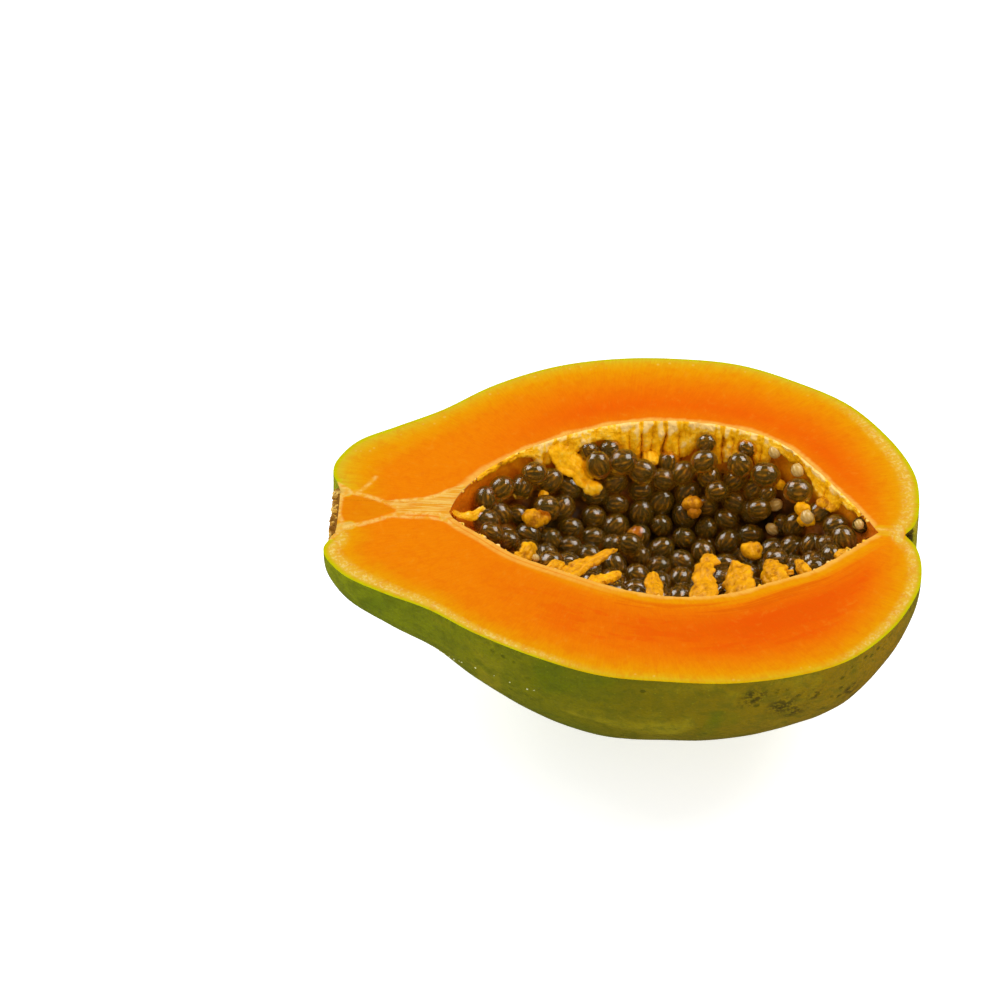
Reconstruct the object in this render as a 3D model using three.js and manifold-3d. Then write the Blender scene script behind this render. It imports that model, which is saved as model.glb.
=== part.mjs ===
// Half of a ripe papaya, cut lengthwise and lying on its back with the cut face up, in millimetres, +Z up.
// The stem end points to -X and the blossom end to +X. The fruit wall is one solid: skin, flesh, the tissue
// that lines the seed cavity and the torn tongues of that tissue all grew together. The seeds are a second
// solid: a packed lining of round seeds that stand out of their own pulp, clear of the fruit wall.
import * as THREE from "three";
import { mergeVertices } from "three/addons/utils/BufferGeometryUtils.js";
import Module from "manifold-3d";

const wasm = await Module();
wasm.setup();
const { Manifold } = wasm;

// ---- Driving dimensions ----
const FLAT_CUT = 0.8; // how far the flat resting spot is cut into the rounded back
const GAP = 0.6; // air between the seeds and the fruit wall
const SEED_RADIUS = 3.3;
const SEED_LONG = 1.14; // a seed's length over its width
const PULP_BELOW = 1.3; // how far the pulp's face lies below the middles of the seeds
const PULP_TOP = -8.0; // the pulp's top edge, from the cut face
const SCAR_RADIUS = 8.0; // the corky scar that the stalk left
const SCAR_STANDS = 1.6;
const SCAR_ROOT = 3; // how far the scar's disc is sunk in the flesh
const SCAR_KNOBS = 14;

// Outlines from the stem end to the blossom end, as [along X, out from the axis]. Point for point, "far"
// and "near" are the two edges of the cut face (+Y and -Y) and "under" is the ridge of the back (-Z).
const SKIN = {
  far: [
    [-71.0, 0], [-71.2, 6.5], [-72.0, 9.5], [-73.5, 13.5], [-72.4, 18.5], [-67.6, 25.0], [-58.5, 30.4],
    [-47.0, 37.1], [-34.2, 46.7], [-19.0, 54.2], [-3.0, 58.0], [13.0, 58.9], [29.0, 57.5], [44.5, 51.8],
    [57.5, 44.5], [68.0, 32.8], [74.0, 21.5], [75.3, 11.0], [74.2, 3.8], [71.6, 0],
  ],
  near: [
    [-71.0, 0], [-71.2, 6.5], [-72.2, 9.0], [-73.8, 13.0], [-72.2, 17.2], [-67.0, 22.4], [-57.5, 27.2],
    [-46.0, 32.0], [-34.0, 39.2], [-19.0, 46.0], [-3.0, 51.0], [13.0, 52.1], [29.0, 51.8], [44.5, 48.6],
    [58.0, 42.6], [68.5, 31.8], [74.6, 19.8], [75.8, 11.5], [74.6, 4.5], [71.6, 0],
  ],
  under: [
    [-71.0, 0], [-71.2, 6.5], [-72.2, 8.5], [-73.4, 12.5], [-71.8, 16.8], [-66.5, 22.6], [-57.5, 27.8],
    [-46.0, 34.2], [-34.0, 44.2], [-19.0, 52.8], [-3.0, 56.9], [12.0, 57.0], [27.0, 54.3], [42.0, 48.2],
    [56.0, 39.6], [67.0, 27.0], [73.4, 17.0], [75.0, 9.5], [74.2, 4.0], [71.6, 0],
  ],
};
const CAVITY = {
  far: [
    [-43.2, 1.2], [-41.0, 7.6], [-35.0, 15.9], [-26.0, 23.6], [-13.0, 30.6], [0.5, 35.1], [14.0, 36.4],
    [27.5, 34.9], [39.8, 30.2], [49.0, 21.3], [57.0, 11.7], [62.5, 4.4], [65.0, 0.4],
  ],
  near: [
    [-43.2, -1.2], [-41.2, 1.6], [-35.0, 6.0], [-26.0, 12.2], [-13.0, 17.4], [0.5, 22.1], [14.0, 24.1],
    [27.5, 22.4], [39.8, 17.3], [49.0, 13.0], [57.0, 6.6], [62.5, 1.8], [65.0, -0.4],
  ],
  under: [
    [-43.2, 0], [-41.5, 5.0], [-36.0, 11.0], [-27.0, 17.5], [-14.0, 24.0], [0.0, 29.0], [14.0, 31.5],
    [27.5, 30.5], [39.0, 26.0], [48.5, 19.5], [56.5, 11.0], [62.5, 4.0], [65.0, 0],
  ],
};

// Five lobes round the fruit, faint at the waist and deep at the blossom end.
const LOBE_WAIST = 0.008;
const LOBE_BLOSSOM = 0.05;

// Upright folds of the lining tissue on the cavity's far wall.
const FOLD_HEIGHT = 3.4;
const FOLD_PITCH = 8.5;
const FOLD_EDGE = [20, 34]; // the turns between which a fold dies out, in degrees below the cut face
const CAVITY_WIDE = 30; // the cavity's half width, about; a fold's height is a share of it

// Torn tongues of lining tissue: each a flat tab from a root sunk in the wall to a free tip, both
// [x, y, z from the cut face], with the half width and the thickness of the tab.
const TONGUES = [
  { root: [-15.2, -18.8, -2.8], tip: [-1.6, -5.6, -4.6], wide: 2.2, thick: 2.2 },
  { root: [-5.2, -22.6, -2.6], tip: [-3.6, -14.2, -4.2], wide: 4.2, thick: 2.0 },
  { root: [-25.6, -15.4, -3.0], tip: [-21.2, -4.6, -5.0], wide: 3.0, thick: 2.0 },
  { root: [9.0, -26.0, -2.6], tip: [8.8, -12.4, -4.6], wide: 2.8, thick: 2.0 },
  { root: [21.6, -26.0, -2.8], tip: [21.4, -12.2, -4.8], wide: 4.2, thick: 2.2 },
  { root: [22.4, -18.6, -4.0], tip: [26.6, -8.8, -5.0], wide: 2.4, thick: 2.0 },
  { root: [30.6, -23.8, -2.8], tip: [30.4, -9.4, -5.0], wide: 4.8, thick: 2.4 },
  { root: [38.8, -21.0, -2.6], tip: [39.8, -8.6, -4.6], wide: 4.8, thick: 2.2 },
  { root: [45.6, -17.0, -2.4], tip: [47.0, -8.0, -3.8], wide: 2.2, thick: 1.8 },
  { root: [-45.6, 2.4, -3.4], tip: [-35.6, 6.4, -4.6], wide: 1.6, thick: 2.2 },
  { root: [-17.8, 32.6, -4.0], tip: [-7.6, 23.4, -11.6], wide: 3.6, thick: 3.4 },
  { root: [5.0, 38.4, -4.0], tip: [6.8, 30.6, -13.4], wide: 3.6, thick: 3.8 },
  { root: [15.4, 39.0, -4.0], tip: [15.6, 33.4, -10.2], wide: 3.4, thick: 3.4 },
  { root: [27.0, 37.6, -4.0], tip: [27.6, 31.8, -10.6], wide: 3.2, thick: 3.2 },
  { root: [38.6, 33.6, -4.0], tip: [36.4, 27.8, -10.8], wide: 3.0, thick: 3.4 },
];
const TONGUE_FACES = new THREE.Vector3(10, 4, 30); // the point over the cavity that the tabs face
const TONGUE_DRAW = 77;

// The seeds. Each lies some way off the cavity's wall, at a station along the fruit and a turn round it,
// 0 being the far edge of the cut face and 180 the near edge. Those high on the far wall are placed by hand,
// as [station, turn]. The lining stands in rows across the fruit, spread evenly and then jittered, and heaps
// up along the floor. Strays are drawn "lift" above the lining's own level, to fill its holes and then to
// rest on it: "rest" is the least and the most that the distance to the nearest neighbour may be, over the
// sum of the two radii.
const SEED_DRAW = 20417;
const HIGH_SEEDS = [
  [0.175, 40], [0.212, 27], [0.215, 66], [0.255, 31], [0.275, 15], [0.3, 29], [0.29, 54], [0.33, 36],
  [0.375, 17], [0.412, 16], [0.54, 14], [0.508, 24], [0.55, 26], [0.59, 26], [0.598, 13], [0.642, 17],
  [0.71, 20], [0.765, 35], [0.81, 48],
];
const HIGH_OFF = 4.2;
const ROWS = { stations: [0.13, 0.93], turns: [23, 163], rowPitch: 5.9, seedPitch: 6.4, jitter: 0.5 };
const LINING_OFF = 4.4;
const HEAP = 4.2; // how much further off the wall the lining lies along the middle of the floor
const LINING_CLEAR = 0.8; // a seed of the lining nearer than this to one placed by hand is left out
const STRAYS = [
  { stations: [0.16, 0.9], turns: [26, 150], lift: 0.5, rest: [0.8, 1.5], tries: 300 },
  { stations: [0.25, 0.84], turns: [55, 140], lift: 4.6, rest: [0.84, 0.93], tries: 40 },
];
const SEED_TOP = -1.2; // no seed of the lining reaches higher than this from the cut face

// ---- Shapes as formulas ----
const TAU = 2 * Math.PI;
const radians = THREE.MathUtils.degToRad;

function randomStream(seed) {
  let state = seed;
  return () => {
    state = (state * 1664525 + 1013904223) % 4294967296;
    return state / 4294967296;
  };
}

// A smooth line through an outline's points; its share runs from 0 to 1, and each step between two points
// takes the same share.
function smoothLine(points) {
  const corners = points.map(([x, out]) => new THREE.Vector3(x, out, 0));
  const line = new THREE.CatmullRomCurve3(corners, false, "catmullrom", 0.5);
  return (share) => line.getPoint(share);
}

// A form is three outlines joined round the axis by half ellipses. It gives the point at a station along the
// fruit and a turn round it: 0 is the far edge, a quarter turn the back and a half turn the near edge.
function makeForm(outlines, relief) {
  const far = smoothLine(outlines.far);
  const near = smoothLine(outlines.near);
  const under = smoothLine(outlines.under);
  return (station, turn) => {
    const side = Math.cos(turn);
    const down = Math.sin(turn);
    const f = far(station);
    const n = near(station);
    const u = under(station);
    const along = (side >= 0 ? f.x : n.x) * side * side + u.x * down * down;
    const swell = relief(station, turn, along);
    const middle = (f.y - n.y) / 2;
    const half = (f.y + n.y) / 2;
    return new THREE.Vector3(along, middle + side * half * swell, -down * u.y * swell);
  };
}

// Lobes leave the two edges of the cut face and the ridge of the back where the outlines put them.
function lobes(station, turn) {
  const depth = LOBE_WAIST + LOBE_BLOSSOM * THREE.MathUtils.smoothstep(station, 0.6, 1);
  return 1 + depth * (Math.cos(5 * turn) - Math.cos(turn));
}

// Folds run down the far wall and die out at the cut face, under the seeds and at the cavity's ends.
function foldDepth(station, turn, wave) {
  const degrees = THREE.MathUtils.radToDeg(turn);
  const { smoothstep } = THREE.MathUtils;
  const reach = smoothstep(degrees, 1, 10) * (1 - smoothstep(degrees, ...FOLD_EDGE));
  const ends = smoothstep(station, 0.12, 0.3) * (1 - smoothstep(station, 0.72, 0.9));
  return 1 - (FOLD_HEIGHT / CAVITY_WIDE) * reach * ends * wave;
}

function folds(station, turn, along) {
  const phase = (TAU * along) / FOLD_PITCH + 0.9 * Math.sin(along / 6);
  return foldDepth(station, turn, 0.6 + 0.4 * Math.sin(phase));
}

const skinAt = makeForm(SKIN, lobes);
const cavityAt = makeForm(CAVITY, folds);
const clearAt = makeForm(CAVITY, (station, turn) => foldDepth(station, turn, 1));

// The point that lies OFF the wall and its folds, straight towards the middle of that station.
function offWall(station, turn, off) {
  const edge = clearAt(station, turn);
  const middle = clearAt(station, 0).add(clearAt(station, Math.PI)).multiplyScalar(0.5).setX(edge.x);
  const inward = middle.sub(edge);
  return edge.addScaledVector(inward.clone().normalize(), Math.min(off, 0.9 * inward.length()));
}

// ---- Closed meshes and booleans ----
function solidFrom(geometry) {
  const bare = geometry.clone();
  bare.deleteAttribute("normal");
  bare.deleteAttribute("uv");
  const merged = mergeVertices(bare, 1e-4);
  const solid = new Manifold(
    new wasm.Mesh({
      numProp: 3,
      vertProperties: new Float32Array(merged.attributes.position.array),
      triVerts: new Uint32Array(merged.index.array),
    }),
  );
  if (solid.volume() > 0) return solid;
  merged.index.array.reverse();
  return solidFrom(merged);
}

function geometryFrom(solid) {
  const mesh = solid.getMesh();
  const geometry = new THREE.BufferGeometry();
  geometry.setAttribute("position", new THREE.BufferAttribute(new Float32Array(mesh.vertProperties), 3));
  geometry.setIndex(new THREE.BufferAttribute(mesh.triVerts, 1));
  return geometry;
}

// The closed surface of a form, all the way round, as rings of points between its two poles.
function closedForm(pointAt, rings, sides) {
  const points = [pointAt(0, 0)];
  for (let ring = 1; ring < rings; ring++)
    for (let side = 0; side < sides; side++) points.push(pointAt(ring / rings, (side / sides) * TAU));
  points.push(pointAt(1, 0));
  const last = points.length - 1;
  const at = (ring, side) => 1 + (ring - 1) * sides + (side % sides);
  const faces = [];
  for (let side = 0; side < sides; side++) {
    faces.push(0, at(1, side), at(1, side + 1));
    for (let ring = 1; ring < rings - 1; ring++) {
      const corners = [at(ring, side), at(ring + 1, side), at(ring + 1, side + 1), at(ring, side + 1)];
      faces.push(corners[0], corners[1], corners[2], corners[0], corners[2], corners[3]);
    }
    faces.push(last, at(rings - 1, side + 1), at(rings - 1, side));
  }
  return solidFrom(new THREE.BufferGeometry().setFromPoints(points).setIndex(faces));
}

// A box that holds everything from one height up to another.
function slab(low, high) {
  return solidFrom(new THREE.BoxGeometry(300, 300, high - low).translate(0, 0, (low + high) / 2));
}

function placed(geometry, position, rotation, scale) {
  const place = new THREE.Matrix4().compose(
    position,
    new THREE.Quaternion().setFromEuler(rotation),
    scale,
  );
  return solidFrom(geometry.clone().applyMatrix4(place));
}

// ---- The fruit wall ----
// A tab with a torn edge, laid from its root to its tip; grown, it is the room the seeds leave round it.
function tongue({ root, tip, wide, thick }, index, grow) {
  const random = randomStream(TONGUE_DRAW + index);
  const start = new THREE.Vector3(...root);
  const reach = new THREE.Vector3(...tip).sub(start);
  const edge = (side, shares) =>
    shares.map(([share, width]) => {
      const out = side * wide * width * (0.75 + 0.45 * random());
      return new THREE.Vector2(out, reach.length() * (share + 0.06 * random()));
    });
  const rightEdge = edge(1, [[0, 1], [0.3, 0.9], [0.55, 1], [0.78, 0.8], [0.94, 0.3]]);
  const leftEdge = edge(-1, [[0.9, 0.3], [0.72, 0.9], [0.5, 0.85], [0.25, 1], [0, 1]]);
  const tab = new THREE.ExtrudeGeometry(new THREE.Shape([...rightEdge, ...leftEdge]), {
    depth: thick / 2 + 2 * grow,
    bevelThickness: thick / 4,
    bevelSize: 0.5,
    bevelOffset: grow - 0.25,
    bevelSegments: 1,
  });
  const along = reach.clone().normalize();
  const facing = TONGUE_FACES.clone().sub(start);
  const across = along.clone().cross(facing).normalize();
  const up = across.clone().cross(along);
  const place = new THREE.Matrix4().makeBasis(across, along, up).setPosition(start);
  return solidFrom(tab.translate(0, 0, -thick / 4 - grow).applyMatrix4(place));
}

// A knobbly disc of cork, its rim jittered, let into the hollow of the stem end.
function stalkScar() {
  const random = randomStream(SEED_DRAW + 1);
  const rim = Array.from({ length: SCAR_KNOBS }, (_, knob) => {
    const radius = SCAR_RADIUS * (0.94 + 0.12 * random());
    const angle = (knob / SCAR_KNOBS) * TAU;
    return new THREE.Vector2(radius * Math.cos(angle), radius * Math.sin(angle));
  });
  const disc = new THREE.ExtrudeGeometry(new THREE.Shape(rim), {
    depth: SCAR_STANDS + SCAR_ROOT,
    bevelEnabled: false,
  });
  const stemFace = SKIN.far[1][0];
  return placed(
    disc,
    new THREE.Vector3(stemFace - SCAR_STANDS, 0, 0),
    new THREE.Euler(0, Math.PI / 2, 0),
    new THREE.Vector3(1, 1, 1),
  );
}

function fruitHalf(cavity, deepest) {
  const above = slab(0, 100);
  const beyondFlat = slab(-100, -deepest + FLAT_CUT);
  const tongues = Manifold.union(TONGUES.map((each, index) => tongue(each, index, 0)));
  return closedForm(skinAt, 42, 36)
    .add(stalkScar())
    .subtract(cavity)
    .add(tongues)
    .subtract(above)
    .subtract(beyondFlat);
}

// ---- The seeds ----
// How far off the wall the lining's seeds lie.
function liningOff(station, turn) {
  return LINING_OFF + HEAP * Math.sin(turn) ** 2 * Math.sin(Math.PI * station) ** 2;
}

function liningAt(station, turn) {
  return offWall(station, turn, liningOff(station, turn));
}

// Values from first to last, a pitch apart as measured along the line that they are points of.
function spaced(pointAt, first, last, pitch, lead) {
  const steps = 240;
  const values = [];
  let due = lead;
  let travelled = 0;
  let previous = pointAt(first);
  for (let step = 1; step <= steps; step++) {
    const value = first + ((last - first) * step) / steps;
    const point = pointAt(value);
    travelled += point.distanceTo(previous);
    previous = point;
    if (travelled < due) continue;
    values.push(value);
    due += pitch;
  }
  return values;
}

function seedPlaces() {
  const random = randomStream(SEED_DRAW);
  const seedAt = (centre) => ({
    centre,
    size: SEED_RADIUS * (0.92 + 0.16 * random()),
    tumble: [TAU * random(), TAU * random()],
  });
  const nearest = (places, { centre, size }) =>
    Math.min(...places.map((other) => centre.distanceTo(other.centre) / (size + other.size)));
  const isLow = ({ centre, size }) => centre.z + size < SEED_TOP;
  const places = HIGH_SEEDS.map(([station, turn]) => seedAt(offWall(station, radians(turn), HIGH_OFF)));
  const byHand = [...places];

  const [firstTurn, lastTurn] = ROWS.turns.map(radians);
  const floor = (station) => liningAt(station, Math.PI / 2);
  spaced(floor, ...ROWS.stations, ROWS.rowPitch, 0).forEach((station, row) => {
    const across = (turn) => liningAt(station, turn);
    const lead = (row % 2) * ROWS.seedPitch * 0.5;
    for (const turn of spaced(across, firstTurn, lastTurn, ROWS.seedPitch, lead)) {
      const centre = across(turn);
      const shift = [random(), random(), random()].map((draw) => ROWS.jitter * (2 * draw - 1));
      const drawn = seedAt(centre.add(new THREE.Vector3(shift[0], shift[1], Math.abs(shift[2]))));
      if (isLow(drawn) && nearest(byHand, drawn) > LINING_CLEAR) places.push(drawn);
    }
  });

  const between = ([low, high]) => low + (high - low) * random();
  for (const { stations, turns, lift, rest, tries } of STRAYS)
    for (let attempt = 0; attempt < tries; attempt++) {
      const station = between(stations);
      const turn = radians(between(turns));
      const drawn = seedAt(offWall(station, turn, liningOff(station, turn) + lift));
      const room = nearest(places, drawn);
      if (isLow(drawn) && room >= rest[0] && room <= rest[1]) places.push(drawn);
    }
  return places;
}

function seed({ centre, size, tumble }) {
  return placed(
    new THREE.SphereGeometry(1, 6, 4),
    centre,
    new THREE.Euler(tumble[0], 0, tumble[1]),
    new THREE.Vector3(size, size * SEED_LONG, size),
  );
}

// The pulp is the core that the lining's seeds stand out of, up to a lid a little below the cut face. The
// room is what the cavity leaves clear of its wall and of the tongues.
function seedMass(places) {
  const room = closedForm((station, turn) => offWall(station, turn, GAP), 26, 36);
  const hollow = closedForm(
    (station, turn) => offWall(station, turn, liningOff(station, turn) - PULP_BELOW),
    24,
    22,
  );
  const pulp = room.subtract(hollow).subtract(slab(PULP_TOP, 100));
  const tongueRoom = Manifold.union(TONGUES.map((each, index) => tongue(each, index, GAP)));
  const bodies = Manifold.union([pulp, ...places.map(seed)])
    .intersect(room)
    .subtract(tongueRoom)
    .decompose();
  return bodies.reduce((largest, body) => (body.volume() > largest.volume() ? body : largest));
}

// ---- Put together ----
function node(name, solid, colour, roughness) {
  const material = new THREE.MeshStandardMaterial({ color: colour, roughness, metalness: 0 });
  const mesh = new THREE.Mesh(geometryFrom(solid), material);
  mesh.name = name;
  return mesh;
}

const deepest = Math.max(...SKIN.under.map(([, out]) => out));
const wall = fruitHalf(closedForm(cavityAt, 56, 40), deepest);
const bounds = wall.boundingBox();
const papaya = new THREE.Group();
papaya.add(node("fruit_half", wall, 0xf08a1c, 0.5), node("seeds", seedMass(seedPlaces()), 0x2b2113, 0.25));
papaya.position.set(
  -(bounds.min[0] + bounds.max[0]) / 2,
  -(bounds.min[1] + bounds.max[1]) / 2,
  -bounds.min[2],
);

export default papaya;
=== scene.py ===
import math

import bmesh
import bpy
from mathutils import Matrix, Vector, kdtree, noise


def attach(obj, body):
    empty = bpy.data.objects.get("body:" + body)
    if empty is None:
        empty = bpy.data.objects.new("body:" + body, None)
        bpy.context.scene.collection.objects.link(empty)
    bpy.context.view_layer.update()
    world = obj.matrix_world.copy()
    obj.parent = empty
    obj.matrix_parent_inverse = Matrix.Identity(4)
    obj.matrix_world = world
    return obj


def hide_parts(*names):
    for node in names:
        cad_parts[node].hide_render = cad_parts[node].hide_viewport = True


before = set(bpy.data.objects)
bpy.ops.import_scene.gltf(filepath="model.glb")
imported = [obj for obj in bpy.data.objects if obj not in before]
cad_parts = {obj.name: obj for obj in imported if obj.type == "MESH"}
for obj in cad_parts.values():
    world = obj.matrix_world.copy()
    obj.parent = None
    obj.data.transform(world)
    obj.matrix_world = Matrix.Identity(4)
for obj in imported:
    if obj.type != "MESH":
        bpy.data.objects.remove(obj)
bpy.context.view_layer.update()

TAU = 2 * math.pi
DEGREES = 57.29578  # in one radian
QUARTER_TURN = 1.5708

# ---- Driving dimensions, in millimetres ----
MM = 0.001
AXIS_AT = Vector((-1.01, -3.356, 56.2))  # where the fruit's axis crosses the frame, at the cut face
FLAT_AT = -56.2  # the level of the flat spot that the fruit rests on
GAP = 0.6  # air between the seeds and the fruit wall
SEED_RADIUS = 3.3
SEED_LONG = 1.14  # a seed's length over its width
PULP_BELOW = 2.4  # how far the pulp's face lies below the middles of the seeds
PULP_TOP = -12.0
SCAR_RADIUS = 8.0
FLESH_THICK = 24.0

# Outlines from the stem end to the blossom end, as [along X, out from the axis]: "far" and "near" are the two
# edges of the cut face and "under" is the ridge of the back.
SKIN = {
    "far": [
        (-71.0, 0), (-71.2, 6.5), (-72.0, 9.5), (-73.5, 13.5), (-72.4, 18.5), (-67.6, 25.0), (-58.5, 30.4),
        (-47.0, 37.1), (-34.2, 46.7), (-19.0, 54.2), (-3.0, 58.0), (13.0, 58.9), (29.0, 57.5), (44.5, 51.8),
        (57.5, 44.5), (68.0, 32.8), (74.0, 21.5), (75.3, 11.0), (74.2, 3.8), (71.6, 0),
    ],
    "near": [
        (-71.0, 0), (-71.2, 6.5), (-72.2, 9.0), (-73.8, 13.0), (-72.2, 17.2), (-67.0, 22.4), (-57.5, 27.2),
        (-46.0, 32.0), (-34.0, 39.2), (-19.0, 46.0), (-3.0, 51.0), (13.0, 52.1), (29.0, 51.8), (44.5, 48.6),
        (58.0, 42.6), (68.5, 31.8), (74.6, 19.8), (75.8, 11.5), (74.6, 4.5), (71.6, 0),
    ],
    "under": [
        (-71.0, 0), (-71.2, 6.5), (-72.2, 8.5), (-73.4, 12.5), (-71.8, 16.8), (-66.5, 22.6), (-57.5, 27.8),
        (-46.0, 34.2), (-34.0, 44.2), (-19.0, 52.8), (-3.0, 56.9), (12.0, 57.0), (27.0, 54.3), (42.0, 48.2),
        (56.0, 39.6), (67.0, 27.0), (73.4, 17.0), (75.0, 9.5), (74.2, 4.0), (71.6, 0),
    ],
}
CAVITY = {
    "far": [
        (-43.2, 1.2), (-41.0, 7.6), (-35.0, 15.9), (-26.0, 23.6), (-13.0, 30.6), (0.5, 35.1), (14.0, 36.4),
        (27.5, 34.9), (39.8, 30.2), (49.0, 21.3), (57.0, 11.7), (62.5, 4.4), (65.0, 0.4),
    ],
    "near": [
        (-43.2, -1.2), (-41.2, 1.6), (-35.0, 6.0), (-26.0, 12.2), (-13.0, 17.4), (0.5, 22.1), (14.0, 24.1),
        (27.5, 22.4), (39.8, 17.3), (49.0, 13.0), (57.0, 6.6), (62.5, 1.8), (65.0, -0.4),
    ],
    "under": [
        (-43.2, 0), (-41.5, 5.0), (-36.0, 11.0), (-27.0, 17.5), (-14.0, 24.0), (0.0, 29.0), (14.0, 31.5),
        (27.5, 30.5), (39.0, 26.0), (48.5, 19.5), (56.5, 11.0), (62.5, 4.0), (65.0, 0),
    ],
}
LOBE_WAIST = 0.008  # how strong the five lobes are at the waist, over the radius
LOBE_BLOSSOM = 0.05  # how much stronger they grow towards the blossom end
FOLD_HEIGHT = 3.4
FOLD_EDGE = (20, 34)  # the turn, in degrees, over which the folds fade out
CAVITY_WIDE = 30

# Torn tongues of the lining, each a line of [x, y, z, half width] from a root sunk in the wall to a free tip.
TONGUES = [
    [(-17.5, -19.6, -2.4, 1.5), (-13.2, -15.6, -2.6, 2.2), (-9.6, -12.6, -3.2, 2.1), (-5.0, -8.6, -3.8, 1.6),
     (-0.8, -5.0, -4.6, 1.0)],
    [(-17.4, -17.0, -2.0, 1.2), (-15.4, -13.8, -2.4, 1.7), (-14.0, -11.8, -3.2, 1.1)],
    [(-6.4, -20.8, -2.2, 1.4), (-4.8, -17.2, -2.6, 1.9), (-2.2, -15.8, -3.0, 1.9), (0.6, -14.2, -3.6, 1.3)],
    [(-24.6, -13.4, -1.8, 2.0), (-22.8, -9.6, -2.4, 2.3), (-21.8, -6.6, -3.4, 1.9), (-21.6, -4.6, -4.4, 0.9)],
    [(9.8, -24.8, -2.0, 2.0), (9.5, -20.4, -2.2, 2.1), (9.2, -16.4, -3.2, 2.0), (8.8, -12.0, -4.6, 1.6)],
    [(21.6, -25.0, -2.0, 3.4), (21.8, -21.0, -2.2, 3.7), (21.2, -15.0, -3.4, 3.0), (21.6, -10.0, -4.4, 2.6),
     (22.6, -6.4, -5.2, 3.3), (24.0, -4.6, -5.6, 1.8)],
    [(30.2, -24.0, -2.0, 3.8), (30.2, -19.6, -2.2, 4.0), (30.3, -14.4, -3.2, 3.8), (29.6, -9.6, -4.4, 3.2),
     (29.0, -6.4, -5.4, 2.0)],
    [(39.6, -21.0, -1.8, 2.8), (39.4, -16.6, -2.2, 3.2), (38.6, -12.0, -3.2, 3.4), (37.8, -8.2, -4.2, 2.5),
     (37.4, -6.0, -5.0, 1.3)],
    [(38.0, -13.0, -3.0, 1.6), (41.0, -11.8, -3.2, 1.4), (44.0, -11.2, -3.6, 0.7)],
    [(47.6, -16.4, -1.6, 1.2), (46.8, -13.0, -2.0, 1.8), (45.6, -9.4, -3.0, 1.6), (45.0, -6.6, -4.0, 0.8)],
    [(58.6, -8.4, -1.4, 1.4), (56.4, -6.4, -1.6, 1.9), (54.8, -4.8, -2.6, 1.2)],
    [(-17.0, 31.6, -2.6, 3.0), (-15.8, 27.6, -2.6, 3.8), (-13.8, 25.6, -5.2, 3.6), (-10.8, 23.8, -8.0, 3.2),
     (-7.4, 21.8, -10.2, 2.2)],
    [(-45.6, 7.4, -1.6, 0.9), (-42.6, 4.4, -2.4, 1.0), (-39.8, 2.6, -3.0, 1.0), (-37.0, 3.4, -3.2, 0.95),
     (-34.8, 6.0, -3.0, 0.7)],
]
TONGUE_PALE = 0.24  # how pale a tongue is
PALE_TONGUES = {2: 0.4, 3: 0.3, 9: 0.32, 11: 0.5, 12: 0.6}  # and these by their number in the list
TONGUE_FACES = Vector((10, 4, 30))  # the place that every tongue turns its broad side to

# The curtain of tissue down the far wall, as [x along the rim, how far it hangs, how far it stands off].
CURTAIN = [
    (-37, 0.9, 0.4), (-30, 1.0, 0.5), (-25.4, 1.3, 0.6), (-23.0, 2.2, 1.0), (-22.2, 6.4, 2.4),
    (-18.6, 7.0, 2.6), (-17.8, 4.4, 1.8), (-17.0, 6.2, 2.6), (-12.8, 6.0, 2.8), (-11.8, 3.4, 1.8),
    (-5.6, 3.0, 1.6), (-2.6, 3.4, 1.8), (-1.6, 9.0, 3.2), (1.6, 10.6, 3.8), (3.9, 10.4, 3.4),
    (4.5, 9.6, 2.6), (9.6, 11.2, 3.2), (10.6, 12.0, 3.6), (13.4, 12.2, 3.4), (14.4, 10.6, 2.4),
    (17.4, 10.0, 2.0), (18.6, 5.2, 1.4), (22.6, 5.2, 1.4), (23.2, 10.2, 3.2), (25.0, 10.8, 3.4),
    (25.8, 9.6, 3.0), (29.0, 9.8, 3.2), (29.8, 3.2, 1.2), (33.0, 3.2, 1.2), (33.8, 9.0, 3.2),
    (36.8, 8.6, 3.0), (37.5, 2.0, 1.0), (41.0, 1.8, 0.9), (41.8, 4.4, 1.6), (43.0, 3.2, 1.0),
    (46.0, 3.0, 1.0), (48.4, 3.0, 1.4), (49.6, 6.4, 2.6), (54.6, 6.0, 2.4), (56.0, 2.0, 1.0),
    (60.5, 1.0, 0.5),
]
SLITS = [  # narrow slits in the curtain, as x along the rim, half width and how deep
    (-17.8, 0.45, 0.8), (10.1, 0.5, 0.85), (25.2, 0.45, 0.85), (4.3, 0.4, 0.8), (1.2, 0.25, 0.2),
    (7.2, 0.3, 0.4), (-20.4, 0.3, 0.4), (-14.6, 0.3, 0.3), (13.8, 0.4, 0.5), (27.6, 0.3, 0.3),
    (35.2, 0.3, 0.3), (52.0, 0.4, 0.4),
]

# Loose lumps of tissue among the seeds, as [place, radius, how pale].
TISSUE_LUMPS = [
    ((-22.4, 8.2, -8.6), 2.6, 0.16), ((-20.4, 8.8, -9.2), 2.2, 0.1), ((33.6, 1.2, -9.4), 2.5, 0.2),
    ((17.9, 20.8, -13.8), 2.3, 0.02), ((18.6, 18.6, -14.8), 1.8, -0.04), ((40.0, 23.7, -8.6), 1.5, 0.25),
    ((46.0, 13.4, -6.2), 2.0, 0.36), ((46.9, 10.6, -7.2), 2.2, 0.36), ((6.6, 31.0, -8.4), 2.1, 0.55),
    ((-7.6, 21.6, -10.6), 2.2, 0.62), ((51.4, 14.4, -5.0), 1.9, 0.16), ((53.6, 13.0, -4.6), 1.6, 0.2),
    ((-20.0, 16.6, -8.6), 1.2, 0.3), ((3.4, 14.0, -19.2), 1.9, 0.05),
]

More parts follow.
